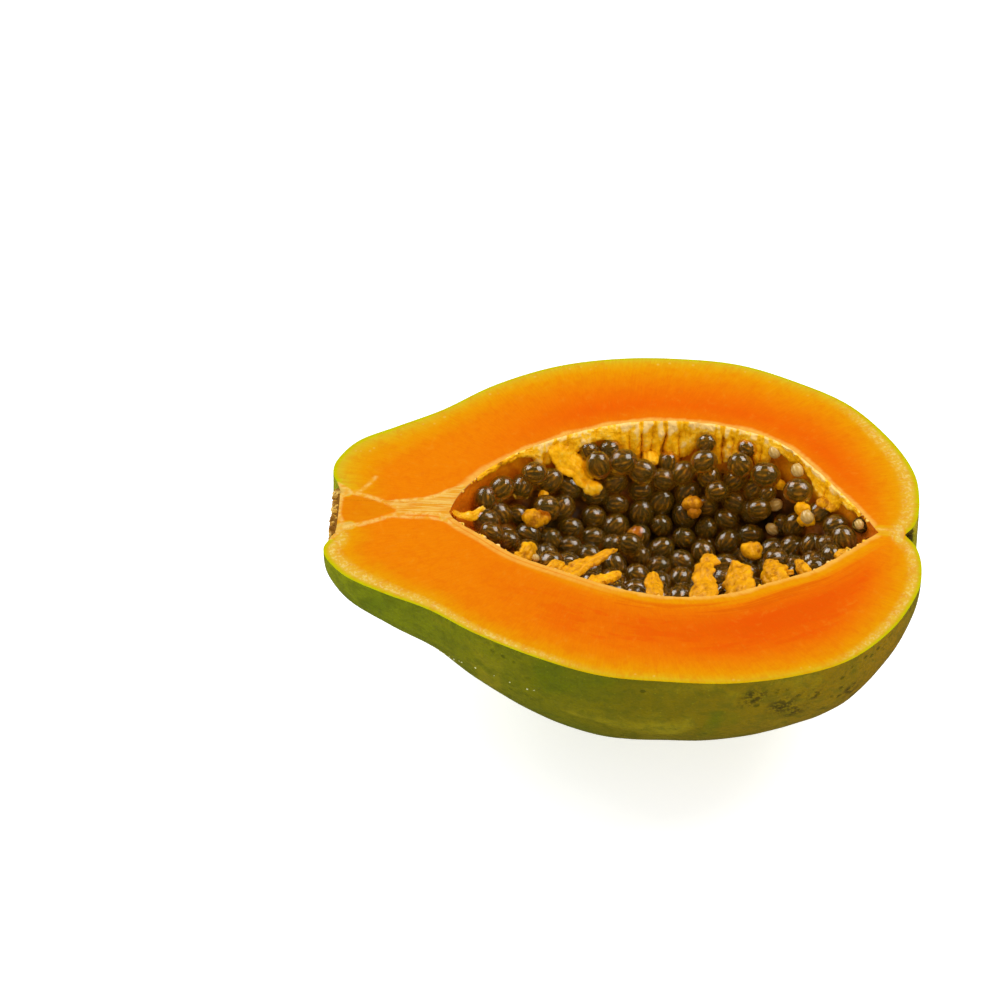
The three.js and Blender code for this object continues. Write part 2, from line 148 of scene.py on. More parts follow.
# The seeds' rule: rows across the fruit, jittered, with strays that fill holes and rest on top, and those
# high on the far wall placed one by one as [station, turn].
SEED_DRAW = 20417
HIGH_SEEDS = [
    (0.175, 40), (0.212, 27), (0.215, 66), (0.255, 31), (0.275, 15), (0.3, 29), (0.29, 54), (0.33, 36),
    (0.375, 17), (0.412, 16), (0.54, 14), (0.508, 24), (0.55, 26), (0.59, 26), (0.598, 13), (0.642, 17),
    (0.71, 20), (0.765, 35), (0.81, 48),
]
HIGH_OFF = 4.2  # how far their middles lie off the wall
ROW_STATIONS = (0.13, 0.93)
ROW_TURNS = (23, 163)
ROW_PITCH = 5.9
SEED_PITCH = 6.4
ROW_JITTER = 0.5
LINING_OFF = 4.4  # how far the rows' middles lie off the wall
HEAP = 4.2  # how much higher they are heaped in the middle of the bowl
LINING_CLEAR = 0.8  # a row's seed this close to one of the listed high seeds, over both radii, is left out
STRAYS = [  # as the stations, the turns, the lift, how near they may rest to others, and the number of tries
    ((0.16, 0.9), (26, 150), 0.5, (0.8, 1.5), 300),
    ((0.25, 0.84), (55, 140), 4.6, (0.84, 0.93), 40),
]
SEED_TOP = -1.2  # no seed of the rule reaches above this
PALE_SEEDS_NEAR = [  # a place that each lies nearest to, and its radius over that of a dark seed in its gel
    ((38.8, 16.7, -10.0), 0.50), ((37.7, 9.5, -9.0), 0.42),
]
WALL_SEEDS = [  # a few more that cling to the far wall, as a place and a radius
    ((-3.6, 30.6, -5.6), 3.0), ((-8.9, 29.2, -4.9), 2.6), ((20.9, 33.0, -4.3), 2.8),
    ((31.4, 31.4, -3.8), 2.5), ((11.3, 31.2, -10.2), 3.0), ((24.2, 22.6, -10.9), 2.9),
    ((35.2, 17.4, -11.6), 2.9), ((37.0, 21.0, -9.4), 2.3),
]
FILLER_DRAW = 5309
CUT_SEED = (60.6, 5.4, -3.0)
PALE_EXTRA = [  # small pale seeds, as a place and a radius
    ((47.2, 9.6, -5.2), 1.6), ((-20.6, -11.4, -1.9), 0.9), ((44.4, 22.8, -2.2), 1.6),
    ((38.5, 29.2, -2.5), 1.5),
]
SAP_DROPS = [  # as station and turn
    (0.384, 147.4), (0.390, 148.7), (0.396, 151.0), (0.402, 153.8), (0.405, 154.6), (0.420, 158.8),
    (0.438, 161.3), (0.452, 162.6), (0.467, 163.8), (0.473, 164.6), (0.379, 145.2),
]
BRUISES = [  # darkened marks on the skin, as [station, turn, radius in mm]
    (0.652, 173.7, 2.4), (0.688, 161.3, 2.2), (0.676, 166.3, 2.8), (0.646, 171.2, 1.4),
    (0.705, 168.0, 1.6), (0.742, 160.0, 2.0),
]


# ---- Shapes as formulas ----
def smoothstep(value, low, high):
    share = min(max((value - low) / (high - low), 0.0), 1.0)
    return share * share * (3 - 2 * share)


def within(limits, share):
    return limits[0] + (limits[1] - limits[0]) * share


def random_stream(seed):
    """The same draws as the solids' source makes."""
    state = seed

    def draw():
        nonlocal state
        state = (state * 1664525 + 1013904223) % 4294967296
        return state / 4294967296

    return draw


def smooth_line(points):
    """A smooth line through an outline's points; each step between two points takes the same share."""
    count = len(points)

    def blend(before, start, end, after, share):
        leave = 0.5 * (end - before)
        arrive = 0.5 * (after - start)
        bend = -3 * start + 3 * end - 2 * leave - arrive
        turn_back = 2 * start - 2 * end + leave + arrive
        return start + share * (leave + share * (bend + share * turn_back))

    def at(share):
        place = (count - 1) * share
        step = min(int(place), count - 2)
        start, end = points[step], points[step + 1]
        before = points[step - 1] if step > 0 else [2 * s - e for s, e in zip(start, end)]
        after = points[step + 2] if step + 2 < count else [2 * e - s for s, e in zip(start, end)]
        return [blend(b, s, e, a, place - step) for b, s, e, a in zip(before, start, end, after)]

    return at


def make_form(outlines, relief):
    """Three outlines joined round the axis by half ellipses. Turn 0 is the far edge of the cut face, a
    quarter turn the back and a half turn the near edge."""
    far, near, under = (smooth_line(outlines[edge]) for edge in ("far", "near", "under"))

    def at(station, turn):
        side, down = math.cos(turn), math.sin(turn)
        f, n, u = far(station), near(station), under(station)
        along = (f[0] if side >= 0 else n[0]) * side * side + u[0] * down * down
        swell = relief(station, turn)
        middle, half = (f[1] - n[1]) / 2, (f[1] + n[1]) / 2
        return Vector((along, middle + side * half * swell, -down * u[1] * swell))

    return at


def lobes(station, turn):
    """The skin's five faint lobes, as a share of its radius."""
    depth = LOBE_WAIST + LOBE_BLOSSOM * smoothstep(station, 0.6, 1)
    return 1 + depth * (math.cos(5 * turn) - math.cos(turn))


def folds(station, turn):
    """How far the crests of the folds on the far wall reach in, as a share of the hollow's radius."""
    degrees = math.degrees(turn)
    reach = smoothstep(degrees, 1, 10) * (1 - smoothstep(degrees, *FOLD_EDGE))
    ends = smoothstep(station, 0.12, 0.3) * (1 - smoothstep(station, 0.72, 0.9))
    return 1 - (FOLD_HEIGHT / CAVITY_WIDE) * reach * ends


skin_at = make_form(SKIN, lobes)
cavity_at = make_form(CAVITY, lambda station, turn: 1.0)
clear_at = make_form(CAVITY, folds)


def off_wall(station, turn, off):
    """The point that lies off the wall and its folds, straight towards the middle of that station."""
    edge = clear_at(station, turn)
    middle = (clear_at(station, 0) + clear_at(station, math.pi)) / 2
    inward = Vector((edge.x, middle.y, middle.z)) - edge
    return edge + inward.normalized() * min(off, 0.9 * inward.length)


def lumps(point, size, seed):
    """A smooth random value from -1 to 1 that changes over about this size."""
    return noise.noise(Vector(point) / size + Vector((seed, 0.7 * seed, 0.3 * seed)))


def lining_off(station, turn):
    return LINING_OFF + HEAP * math.sin(turn) ** 2 * math.sin(math.pi * station) ** 2


def lining_at(station, turn):
    return off_wall(station, turn, lining_off(station, turn))


def halved(low, high, is_low):
    """The two values, all but alike, between which a test stops holding."""
    for _ in range(24):
        middle = (low + high) / 2
        if is_low(middle):
            low = middle
        else:
            high = middle
    return low, high


def spaced(point_at, first, last, pitch, lead):
    """Values from first to last, a pitch apart as measured along the line that they are points of."""
    steps = 240
    values = []
    due, travelled = lead, 0.0
    previous = point_at(first)
    for step in range(1, steps + 1):
        value = first + (last - first) * step / steps
        point = point_at(value)
        travelled += (point - previous).length
        previous = point
        if travelled >= due:
            values.append(value)
            due += pitch
    return values


def seed_places():
    """Every seed of the solids' own rule, as its centre, its radius and the two angles it is tumbled by."""
    random = random_stream(SEED_DRAW)

    def seed_at(centre):
        size = SEED_RADIUS * (0.92 + 0.16 * random())
        tumble = (TAU * random(), TAU * random())
        return centre, size, tumble

    def nearest(places, seed):
        return min((seed[0] - other[0]).length / (seed[1] + other[1]) for other in places)

    def is_low(seed):
        return seed[0].z + seed[1] < SEED_TOP

    places = [seed_at(off_wall(station, math.radians(turn), HIGH_OFF)) for station, turn in HIGH_SEEDS]
    by_hand = list(places)
    first_turn, last_turn = (math.radians(turn) for turn in ROW_TURNS)
    stations = spaced(lambda station: lining_at(station, math.pi / 2), *ROW_STATIONS, ROW_PITCH, 0)
    for row, station in enumerate(stations):
        lead = (row % 2) * SEED_PITCH * 0.5
        for turn in spaced(lambda turn: lining_at(station, turn), first_turn, last_turn, SEED_PITCH, lead):
            shift = [ROW_JITTER * (2 * random() - 1) for _ in range(3)]
            centre = lining_at(station, turn) + Vector((shift[0], shift[1], abs(shift[2])))
            seed = seed_at(centre)
            if is_low(seed) and nearest(by_hand, seed) > LINING_CLEAR:
                places.append(seed)
    for stations, turns, lift, (closest, furthest), tries in STRAYS:
        for _ in range(tries):
            station = within(stations, random())
            turn = math.radians(within(turns, random()))
            seed = seed_at(off_wall(station, turn, lining_off(station, turn) + lift))
            if is_low(seed) and closest <= nearest(places, seed) <= furthest:
                places.append(seed)
    return places


# ---- Bench tools ----
def deselect_all():
    if bpy.context.object and bpy.context.object.mode != "OBJECT":
        bpy.ops.object.mode_set(mode="OBJECT")
    bpy.ops.object.select_all(action="DESELECT")


def pick(*objects):
    deselect_all()
    for each in objects:
        each.select_set(True)
    bpy.context.view_layer.objects.active = objects[0]


def started(name):
    """The primitive that was just added, under its own name."""
    piece = bpy.context.object
    piece.name = name
    piece.data.name = name
    return piece


def ball(name, subdivisions):
    """A ball of even triangles, 2 mm across, that small lumps are shaped from."""
    deselect_all()
    bpy.ops.mesh.primitive_ico_sphere_add(subdivisions=subdivisions, radius=1)
    return started(name)


def ringed_ball(name, segments, rings):
    """A ball of rings round the Y axis, 2 mm across, that seeds are shaped from."""
    deselect_all()
    upright = (math.pi / 2, 0, 0)
    bpy.ops.mesh.primitive_uv_sphere_add(segments=segments, ring_count=rings, radius=1, rotation=upright)
    blank = started(name)
    bpy.ops.object.transform_apply(location=False, rotation=True, scale=True)
    return blank


def in_edit(piece, *steps):
    """Edit-mode operators on the whole of a piece, one after another."""
    pick(piece)
    bpy.ops.object.mode_set(mode="EDIT")
    bpy.ops.mesh.select_all(action="SELECT")
    for step in steps:
        step()
    bpy.ops.object.mode_set(mode="OBJECT")


def face_outwards():
    bpy.ops.mesh.normals_make_consistent(inside=False)


def applied(piece, kind, **settings):
    pick(piece)
    modifier = piece.modifiers.new(kind.title(), kind)
    for key, value in settings.items():
        setattr(modifier, key, value)
    bpy.ops.object.modifier_apply(modifier=modifier.name)


def copied(piece, name):
    """A copy with its own mesh."""
    twin = piece.copy()
    twin.data = piece.data.copy()
    twin.name = name
    twin.data.name = name
    bpy.context.collection.objects.link(twin)
    return twin


def joined(name, parts):
    pick(*parts)
    if len(parts) > 1:
        bpy.ops.object.join()
    return started(name)


def put_away(*blanks):
    for blank in blanks:
        bpy.data.objects.remove(blank)


def finished(piece, node, slot, *materials, angle=None):
    """Gives a piece its finish, carries it into the frame, hangs it on the root body and hides the solid part
    that it stands for.
    """
    for material in materials:
        piece.data.materials.append(material)
    piece.data.transform(Matrix.Scale(MM, 4) @ Matrix.Translation(AXIS_AT))
    pick(piece)
    bpy.ops.object.shade_smooth()
    if angle is not None:
        bpy.ops.object.shade_smooth_by_angle(angle=math.radians(angle))
    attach(piece, "root")
    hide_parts(node)
    return piece


def set_values(mesh, name, values):
    layer = mesh.attributes.get(name) or mesh.attributes.new(name, "FLOAT", "POINT")
    layer.data.foreach_set("value", values)


# ---- Finishes ----
def srgb(red, green, blue):
    def linear(level):
        level /= 255
        return level / 12.92 if level <= 0.04045 else ((level + 0.055) / 1.055) ** 2.4

    return (linear(red), linear(green), linear(blue), 1.0)


class Level:
    """What a node puts out: a value, colour or direction that varies, and the sums that it can go into."""

    def __init__(self, nodes, socket):
        self.nodes, self.socket = nodes, socket

    def maths(self, operation, *others, clamp=False):
        inputs = dict(enumerate((self, *others)))
        return self.nodes.add("Math", 0, inputs, operation=operation, use_clamp=clamp)

    def __add__(self, other):
        return self.maths("ADD", other)

    def __sub__(self, other):
        return self.maths("SUBTRACT", other)

    def __mul__(self, other):
        return self.maths("MULTIPLY", other)

    def __truediv__(self, other):
        return self.maths("DIVIDE", other)

    def eased(self, low, high, to_low=0.0, to_high=1.0):
        """Goes softly from one value to another while this level goes from low to high."""
        inputs = {"Value": self, "From Min": low, "From Max": high, "To Min": to_low, "To Max": to_high}
        return self.nodes.add("MapRange", "Result", inputs, interpolation_type="SMOOTHSTEP")


class Nodes:
    """The nodes of one material, group or world."""

    def __init__(self, tree):
        self.tree = tree

    def plug(self, entry, value):
        if isinstance(value, Level):
            self.tree.links.new(value.socket, entry)
        else:
            entry.default_value = value

    def add(self, kind, output, inputs=None, **settings):
        """A new node with its settings and inputs, as the level that one of its outputs gives."""
        node = self.tree.nodes.new("ShaderNode" + kind)
        for key, value in settings.items():
            setattr(node, key, value)
        for key, value in (inputs or {}).items():
            self.plug(node.inputs[key], value)
        return Level(self, node.outputs[output])


class Finish(Nodes):
    """A material in the making, with the colour and the relief laid on so far. Plain values go straight on
    the shader's own sockets."""

    def __init__(self, name, **plain):
        self.material = bpy.data.materials.new(name)
        self.material.use_nodes = True
        super().__init__(self.material.node_tree)
        self.shader = self.tree.nodes["Principled BSDF"]
        for key, value in plain.items():
            self.shader.inputs[key.replace("_", " ")].default_value = value
        self.place = self.millimetres()
        self.base = self.normal = None

    def millimetres(self):
        """Object coordinates, in millimetres."""
        place = self.add("TexCoord", "Object")
        return self.add("VectorMath", 0, {0: place, "Scale": 1 / MM}, operation="SCALE")

    def attribute(self, name):
        return self.add("Attribute", "Fac", attribute_name=name)

    def stretched(self, place, scale):
        return self.add("VectorMath", 0, {0: place, 1: scale}, operation="MULTIPLY")

    def patches(self, size, detail=2.0, rough=0.5, warp=0.0, place=None):
        """Soft random patches of about this size in millimetres, from 0 to 1."""
        inputs = {"Vector": place or self.place, "Scale": 1 / size, "Detail": detail}
        return self.add("TexNoise", "Fac", {**inputs, "Roughness": rough, "Distortion": warp})

    def streaks(self, depth, across, inwards, detail=3.0, rough=0.6):
        """Patches drawn out on the cut face, by how far round they lie and by one of its depths."""
        place = self.add("CombineXYZ", "Vector", {"X": self.attribute("around"), "Y": self.attribute(depth)})
        return self.patches(1, detail, rough, place=self.stretched(place, (across, inwards, 1)))

    def spots(self, pitch):
        """The distance from the middle of the nearest of many scattered spots, over their pitch."""
        return self.add("TexVoronoi", "Distance", {"Vector": self.place, "Scale": 1 / pitch})

    def grain(self, size):
        """The shared wet grain at this size in millimetres, as its height and its tone."""
        node = self.tree.nodes.new("ShaderNodeGroup")
        node.node_tree = GRAIN
        self.plug(node.inputs["Vector"], self.place)
        self.plug(node.inputs["Grain Size"], size)
        return Level(self, node.outputs["Height"]), Level(self, node.outputs["Tone"])

    def ramp(self, value, *stops):
        """A colour that follows a value, from stops of a value, red, green and blue."""
        shade = self.add("ValToRGB", "Color", {"Fac": value})
        elements = shade.socket.node.color_ramp.elements
        while len(elements) < len(stops):
            elements.new(0.5)
        for element, (place, *colour) in zip(elements, stops):
            element.position = place
            element.color = srgb(*colour)
        return shade

    def mix(self, amount, first, second):
        return self.add("Mix", 2, {0: amount, 6: first, 7: second}, data_type="RGBA")

    def tint(self, amount, *colour):
        """Lays another colour on, as much as the amount says: a level, or red, green and blue."""
        other = colour[0] if isinstance(colour[0], Level) else srgb(*colour)
        self.base = self.mix(amount, self.base, other)

    def relief(self, height, distance):
        """Raises the surface by a height that is worth this many millimetres, on top of what is there."""
        inputs = {"Height": height, "Distance": distance * MM}
        if self.normal:
            inputs["Normal"] = self.normal
        self.normal = self.add("Bump", "Normal", inputs)

    def done(self, **levels):
        levels = {"Base Color": self.base, "Normal": self.normal, **levels}
        for key, level in levels.items():
            if level:
                self.plug(self.shader.inputs[key], level)
        return self.material


def grain_group():
    """Shared by the wet tissues: a fine grain with coarser swellings, as a height and as a tone."""
    group = bpy.data.node_groups.new("wet_grain", "ShaderNodeTree")
    for name, kind in (("Vector", "NodeSocketVector"), ("Grain Size", "NodeSocketFloat")):
        group.interface.new_socket(name, in_out="INPUT", socket_type=kind)
    for name in ("Height", "Tone"):
        group.interface.new_socket(name, in_out="OUTPUT", socket_type="NodeSocketFloat")
    nodes = Nodes(group)
    source = group.nodes.new("NodeGroupInput")
    result = group.nodes.new("NodeGroupOutput")
    place = Level(nodes, source.outputs["Vector"])
    scale = nodes.add("Math", 0, {0: 1.0, 1: Level(nodes, source.outputs["Grain Size"])}, operation="DIVIDE")
    fine = nodes.add("TexNoise", "Fac", {"Vector": place, "Scale": scale, "Detail": 3.0})
    coarse = nodes.add("TexNoise", "Fac", {"Vector": place, "Scale": scale * 0.22, "Detail": 2.0})
    cells = nodes.add("TexVoronoi", "Distance", {"Vector": place, "Scale": scale}, feature="SMOOTH_F1")
    nodes.plug(result.inputs["Height"], fine * 0.5 + cells + coarse * 1.2)
    nodes.plug(result.inputs["Tone"], coarse)
    return group


GRAIN = grain_group()


def grained(name, size, distance, **plain):
    """A finish with the shared grain raised on it, and the grain's tone."""
    finish = Finish(name, **plain)
    height, tone = finish.grain(size)
    finish.relief(height, distance)
    return finish, tone


def skin_finish():
    """Thin glossy skin: olive green, yellower at both ends, with dark dots and rubbed brown marks."""
    skin = Finish("papaya_skin", Roughness=0.38, Specular_IOR_Level=0.1, Specular_Tint=srgb(236, 226, 60))
    station = skin.attribute("station")
    skin.base = skin.ramp(
        station, (0.08, 162, 166, 4), (0.16, 142, 148, 2), (0.3, 106, 116, 1), (0.42, 108, 110, 1),
        (0.55, 102, 92, 0), (0.7, 120, 96, 0), (0.8, 142, 106, 0), (0.9, 166, 142, 2), (0.97, 164, 150, 8),
    )
    broad = skin.patches(26, 3.0, 0.55, 0.6)
    skin.tint(broad.eased(0.30, 0.48, 0.55, 0.0), 74, 92, 2)
    skin.tint(broad.eased(0.54, 0.72, 0.0, 0.7), 140, 126, 8)
    # Painted light: the skin is tinted lighter towards its underside, where the pale floor lights it.
    painted_underside_light = (skin.attribute("turn") - QUARTER_TURN).maths("ABSOLUTE").eased(1.1, 0.5)
    skin.tint(painted_underside_light * 0.35, 128, 134, 12)
    mottle = skin.patches(3.2, 4.0, 0.6, 0.4)
    skin.tint(mottle.eased(0.42, 0.68, 0.0, 0.4), 70, 78, 4)
    cluster = skin.patches(19, 1.0).eased(0.5, 0.62)
    dots = (mottle * 0.5 + skin.spots(3.4)).eased(0.50, 0.34) * cluster
    skin.tint(dots * 0.6, 44, 52, 6)
    skin.tint(skin.spots(1.5).eased(0.16, 0.06, 0.0, 0.35), 150, 152, 34)
    rubbed = skin.patches(7.5, 5.0, 0.62, 1.2).eased(0.60, 0.70) * station.eased(0.58, 0.9)
    skin.tint(rubbed * 0.75, 70, 58, 14)
    bruise = skin.attribute("bruise") * skin.patches(1.7, 4.0, 0.7).eased(0.46, 0.52)
    skin.tint(bruise * 0.85, 50, 42, 10)
    fine = skin.patches(0.7, 3.0)
    skin.tint(fine.eased(0.46, 0.66, 0.0, 0.3), 78, 74, 2)
    pit_at = fruit_skin_at(1.0, 0.0) + AXIS_AT
    to_pit = skin.add("VectorMath", "Value", {0: skin.place, 1: pit_at}, operation="DISTANCE")
    skin.tint((fine * 2.4 + to_pit).eased(5.0, 4.0) * 0.9, 56, 38, 14)
    skin.relief(mottle, 0.25)
    skin.relief(fine, 0.07)
    skin.relief(dots * -1.0, 0.12)
    return skin.done(Roughness=mottle.eased(0.3, 0.7, 0.34, 0.5))


def flesh_finish():
    """Cut flesh: lime just under the skin, then yellow, orange and red orange, paler again at the hollow."""
    flesh = Finish(
        "papaya_cut_flesh", Roughness=0.5, Specular_IOR_Level=0.05, Specular_Tint=srgb(255, 214, 120),
    )
    marks = ("under_skin", "off_hollow", "near_rim", "left_rim", "flecked", "cream")
    depth, to_hollow, near_rim, left_rim, flecked, cream = (flesh.attribute(name) for name in marks)
    streaks = flesh.streaks("under_skin", 0.8, 0.10)
    clouds = flesh.patches(7, 3.0, 0.55, 0.5)

    # from the skin inwards
    shifted = depth + (streaks * 1.8 + clouds * 3.2 - 2.5) * depth.eased(0.6, 6.0)
    flesh.base = flesh.ramp(
        shifted / FLESH_THICK, (0.0, 168, 182, 0), (0.016, 186, 178, 0), (0.034, 198, 168, 30),
        (0.085, 208, 156, 12), (0.17, 214, 140, 0), (0.33, 216, 122, 0), (0.5, 217, 104, 0),
        (0.68, 217, 90, 0), (0.95, 213, 80, 0),
    )
    flesh.tint(flesh.attribute("unripe") * shifted.eased(5.0, 12.0), 219, 121, 0)

    # towards the hollow
    flesh.tint((clouds * 3.0 + to_hollow).eased(8.0, 1.6) * 0.75, 218, 116, 0)
    long_streaks = flesh.streaks("off_hollow", 0.045, 0.62)
    wavy = (long_streaks - 0.5) * 5.0 + to_hollow
    flesh.tint(near_rim * wavy.eased(10.5, 3.5) * 0.62, 219, 118, 0)
    flesh.tint(near_rim * wavy.eased(4.6, 1.4) * 0.9, 216, 144, 0)
    not_flecked = flecked.maths("MULTIPLY_ADD", -2.0, 1.0, clamp=True)
    furrows = long_streaks.eased(0.50, 0.58) * to_hollow.eased(2.0, 3.4) * to_hollow.eased(9.0, 5.0)
    flesh.tint(furrows * near_rim * not_flecked * 0.5, 198, 84, 0)
    ripest = flesh.streaks("off_hollow", 0.11, 0.34, 4.0, 0.66).eased(0.46, 0.58) * near_rim
    flesh.tint(ripest * to_hollow.eased(5.0, 9.0) * depth.eased(11.0, 16.0) * 0.5, 214, 76, 0)
    flesh.tint(near_rim * not_flecked * depth.eased(1.5, 0.4) * 0.75, 200, 156, 2)

    # the pale rim of the hollow
    frayed = (clouds - 0.5) * 2.2 + to_hollow + (streaks - 0.5) * 0.8
    narrow = flesh.attribute("apex") * -0.45 + 1.0
    flesh.tint((frayed * narrow).eased(1.5, 0.35) * 0.85, 228, 172, 72)
    flesh.tint(left_rim * to_hollow.eased(2.6, 1.7) * 0.8, 224, 164, 62)
    line = to_hollow.eased(0.85, 1.0) * to_hollow.eased(1.35, 1.15)
    flesh.tint(left_rim * line * 0.8, 218, 128, 24)

    # the stalk's pale strands and the cream at both ends
    flesh.tint(flesh.attribute("lens"), 211, 122, 0)
    flesh.tint(cream.eased(0.0, 0.5), flesh.ramp(cream, (0.45, 214, 156, 8), (0.85, 206, 168, 74)))
    threads = flesh.patches(1, 3.0, 0.6, place=flesh.stretched(flesh.place, (0.10, 2.4, 1)))
    thready = flesh.mix(threads.eased(0.58, 0.42), srgb(222, 180, 88), srgb(214, 144, 26))
    flesh.tint(flesh.attribute("stalk"), thready)
    uneven = flesh.patches(1.4, 3.0, 0.6, 0.4).eased(0.4, 0.6)
    pale = flesh.mix(uneven, srgb(220, 158, 44), srgb(228, 186, 98))
    flesh.tint(flesh.attribute("strands") * 0.75, pale)

    # drops and flecks just under the skin
    drops = flesh.spots(2.3).eased(0.20, 0.12) * depth.eased(0.6, 1.4) * depth.eased(3.6, 2.4)
    flesh.tint(drops * 0.24, 230, 200, 110)
    flecked_band = depth.eased(0.7, 1.3) * depth.eased(3.8, 1.6) * flecked
    flesh.tint(flecked_band, 216, 176, 66)
    flesh.tint(flesh.patches(0.8, 2.0, 0.6, 0.1).eased(0.50, 0.62) * flecked_band, 224, 200, 120)

    # fibres and blotches all over
    fibres = flesh.streaks("under_skin", 2.6, 0.22, 3.0, 0.65)
    flesh.tint(fibres.eased(0.38, 0.62, 0.0, 0.16), 194, 82, 0)
    flesh.tint(fibres.eased(0.60, 0.74, 0.0, 0.16), 226, 164, 44)
    blotches = flesh.patches(2.6, 4.0, 0.65, 0.6)
    flesh.tint(blotches.eased(0.52, 0.36, 0.0, 0.18), 202, 82, 0)
    flesh.tint(blotches.eased(0.56, 0.74, 0.0, 0.13), 226, 160, 40)
    height, _ = flesh.grain(1.3)
    flesh.relief(height, 0.06)
    flesh.relief(streaks, 0.10)
    return flesh.done(Roughness=height.eased(0.6, 1.6, 0.36, 0.52))


def lining_finish():
    """The hollow's wall: pale at the rim, golden tissue below it and bare red brown flesh at the ends."""
    lining, tone = grained("papaya_lining", 1.1, 0.2, Roughness=0.35, Specular_IOR_Level=0.3)
    lining.base = lining.ramp(tone, (0.3, 190, 96, 2), (0.52, 220, 128, 4), (0.75, 242, 166, 20))
    off_lowest = (lining.attribute("turn") * DEGREES - 90.0).maths("ABSOLUTE")
    # Painted shade: the wall is darkened towards the lowest part of the hollow, where shade falls.
    lining.tint(off_lowest.eased(68.0, 48.0) * 0.85, 84, 46, 8)
    rim = (tone * 4.0 + off_lowest).eased(87.0, 90.5)
    lining.tint(rim, 244, 188, 104)
    station = lining.attribute("station")
    ends = station.eased(0.24, 0.14).maths("MAXIMUM", station.eased(0.84, 0.93))
    below_rim = rim.maths("MULTIPLY_ADD", -1.0, 1.0)
    lining.tint(ends * below_rim * 0.85, 222, 112, 6)
    return lining.done()


def tissue_finish():
    """Torn golden tissue of the lining: paler where it is thin, with painted light on its crests and painted
    shade, orange, in its creases.
    """
    tissue, tone = grained(
        "torn_tissue", 0.55, 0.14, Roughness=0.36, Specular_IOR_Level=0.3, Specular_Tint=srgb(255, 224, 150),
    )
    fold = tissue.patches(1, 3.0, 0.6, 0.8, place=tissue.stretched(tissue.place, (1.5, 1.1, 0.5)))
    # The pale attribute carries the tissue's own paleness and the painted light and shade laid on its crests,
    # creases and slits.
    shade = (fold - 0.5) * 0.5 + ((tone - 0.5) * 0.6 + tissue.attribute("pale"))
    tissue.base = tissue.ramp(
        shade, (0.0, 172, 102, 4), (0.14, 210, 138, 4), (0.32, 230, 156, 4), (0.54, 248, 176, 6),
        (0.72, 250, 190, 40), (0.95, 250, 206, 122),
    )
    return tissue.done()


def kernel_finish():
    """The dark seed inside its gel: brown black, with lighter brown along the crests of its ridges."""
    seed, tone = grained("seed_kernel", 0.5, 0.12, Roughness=0.45, Specular_IOR_Level=0.15)
    shade = seed.attribute("crest") * 0.6 + tone * 0.6
    seed.base = seed.ramp(shade, (0.3, 34, 25, 6), (0.55, 106, 78, 20), (0.95, 200, 156, 54))
    return seed.done()


def gel_finish():
    """The clear olive gel coat of a seed, wet on the outside, which lets light through to what it shades."""
    gel, _ = grained(
        "seed_gel", 1.25, 0.34, Roughness=0.06, IOR=1.3, Transmission_Weight=0.93,
        Base_Color=srgb(218, 172, 40), Coat_Weight=1.0, Coat_IOR=1.6, Coat_Roughness=0.12,
    )
    wet = Level(gel, gel.shader.outputs["BSDF"])
    clear = gel.add("BsdfTransparent", "BSDF", {"Color": srgb(236, 210, 124)})
    casts_shade = gel.add("LightPath", "Is Shadow Ray")
    both = gel.add("MixShader", "Shader", {"Fac": casts_shade, 1: wet, 2: clear})
    gel.plug(gel.tree.nodes["Material Output"].inputs["Surface"], both)
    return gel.done()


def pale_seed_finish():
    """A seed that never ripened: cream, with faint lengthwise stripes."""
    seed, tone = grained("pale_seed", 0.7, 0.08, Roughness=0.35, Coat_Weight=0.4, Coat_Roughness=0.1)
    seed.base = seed.mix(seed.attribute("crest"), srgb(190, 146, 66), srgb(236, 204, 130))
    seed.tint(tone.eased(0.4, 0.7, 0.0, 0.4), 150, 104, 36)
    return seed.done()


def pulp_and_painted_shade_finish():
    """The wet pulp under the seeds, dark brown and painted near black as the shade deep between the seeds,
    browner where it climbs the wall.
    """
    pulp, tone = grained("seed_bed", 1.4, 0.4, Roughness=0.55, Specular_IOR_Level=0.25)
    # Painted shade: the bed is near black, standing for the shade deep between the seeds.
    pulp.base = pulp.ramp(tone, (0.35, 20, 12, 3), (0.52, 56, 33, 5), (0.68, 134, 78, 6))
    level = pulp.add("SeparateXYZ", "Z", {"Vector": pulp.place})
    pulp.tint((tone * 8.0 + level).eased(42.0, 52.0) * 0.6, 150, 88, 6)
    return pulp.done()


def cork_finish():
    """The corky scar that the stalk left."""
    cork, tone = grained(
        "scar_cork", 0.8, 0.35, Roughness=0.62, Specular_IOR_Level=0.2, Specular_Tint=srgb(255, 220, 150),
    )
    crests = cork.ramp(tone, (0.3, 126, 80, 16), (0.5, 190, 136, 40), (0.7, 236, 196, 104))
    # Painted light and shade: the crest attribute lightens each knob's middle and darkens the gaps between
    # knobs.
    cork.base = cork.mix(cork.attribute("crest"), srgb(122, 76, 16), crests)
    return cork.done()


def latex_finish():
    """Dried drops of the fruit's milky sap."""
    latex, tone = grained("milky_sap", 0.6, 0.04, Roughness=0.3, Coat_Weight=0.3)
    latex.base = latex.mix(tone, srgb(176, 178, 96), srgb(222, 222, 178))
    return latex.done()


def floor_finish():
    """A white light table: it glows a little, so that shadows on it stay pale."""
    floor = Finish("pale_floor", Roughness=0.9, Specular_IOR_Level=0.0, Emission_Strength=0.58)
    floor.shader.inputs["Emission Color"].default_value = (1, 1, 1, 1)
    floor.base = floor.mix(floor.patches(160), srgb(238, 238, 238), srgb(242, 242, 242))
    return floor.done()


# ---- The fruit wall ----
SKIN_COLUMNS = 144
RINGS = 168
FACE_CUTS = 24  # rows of the cut face between its two rims
ON_FACE = -0.02  # a point above this lies on the cut face
CUT_ANGLE = 38  # in degrees: the edges of the cut stay sharp, and the rest is smooth


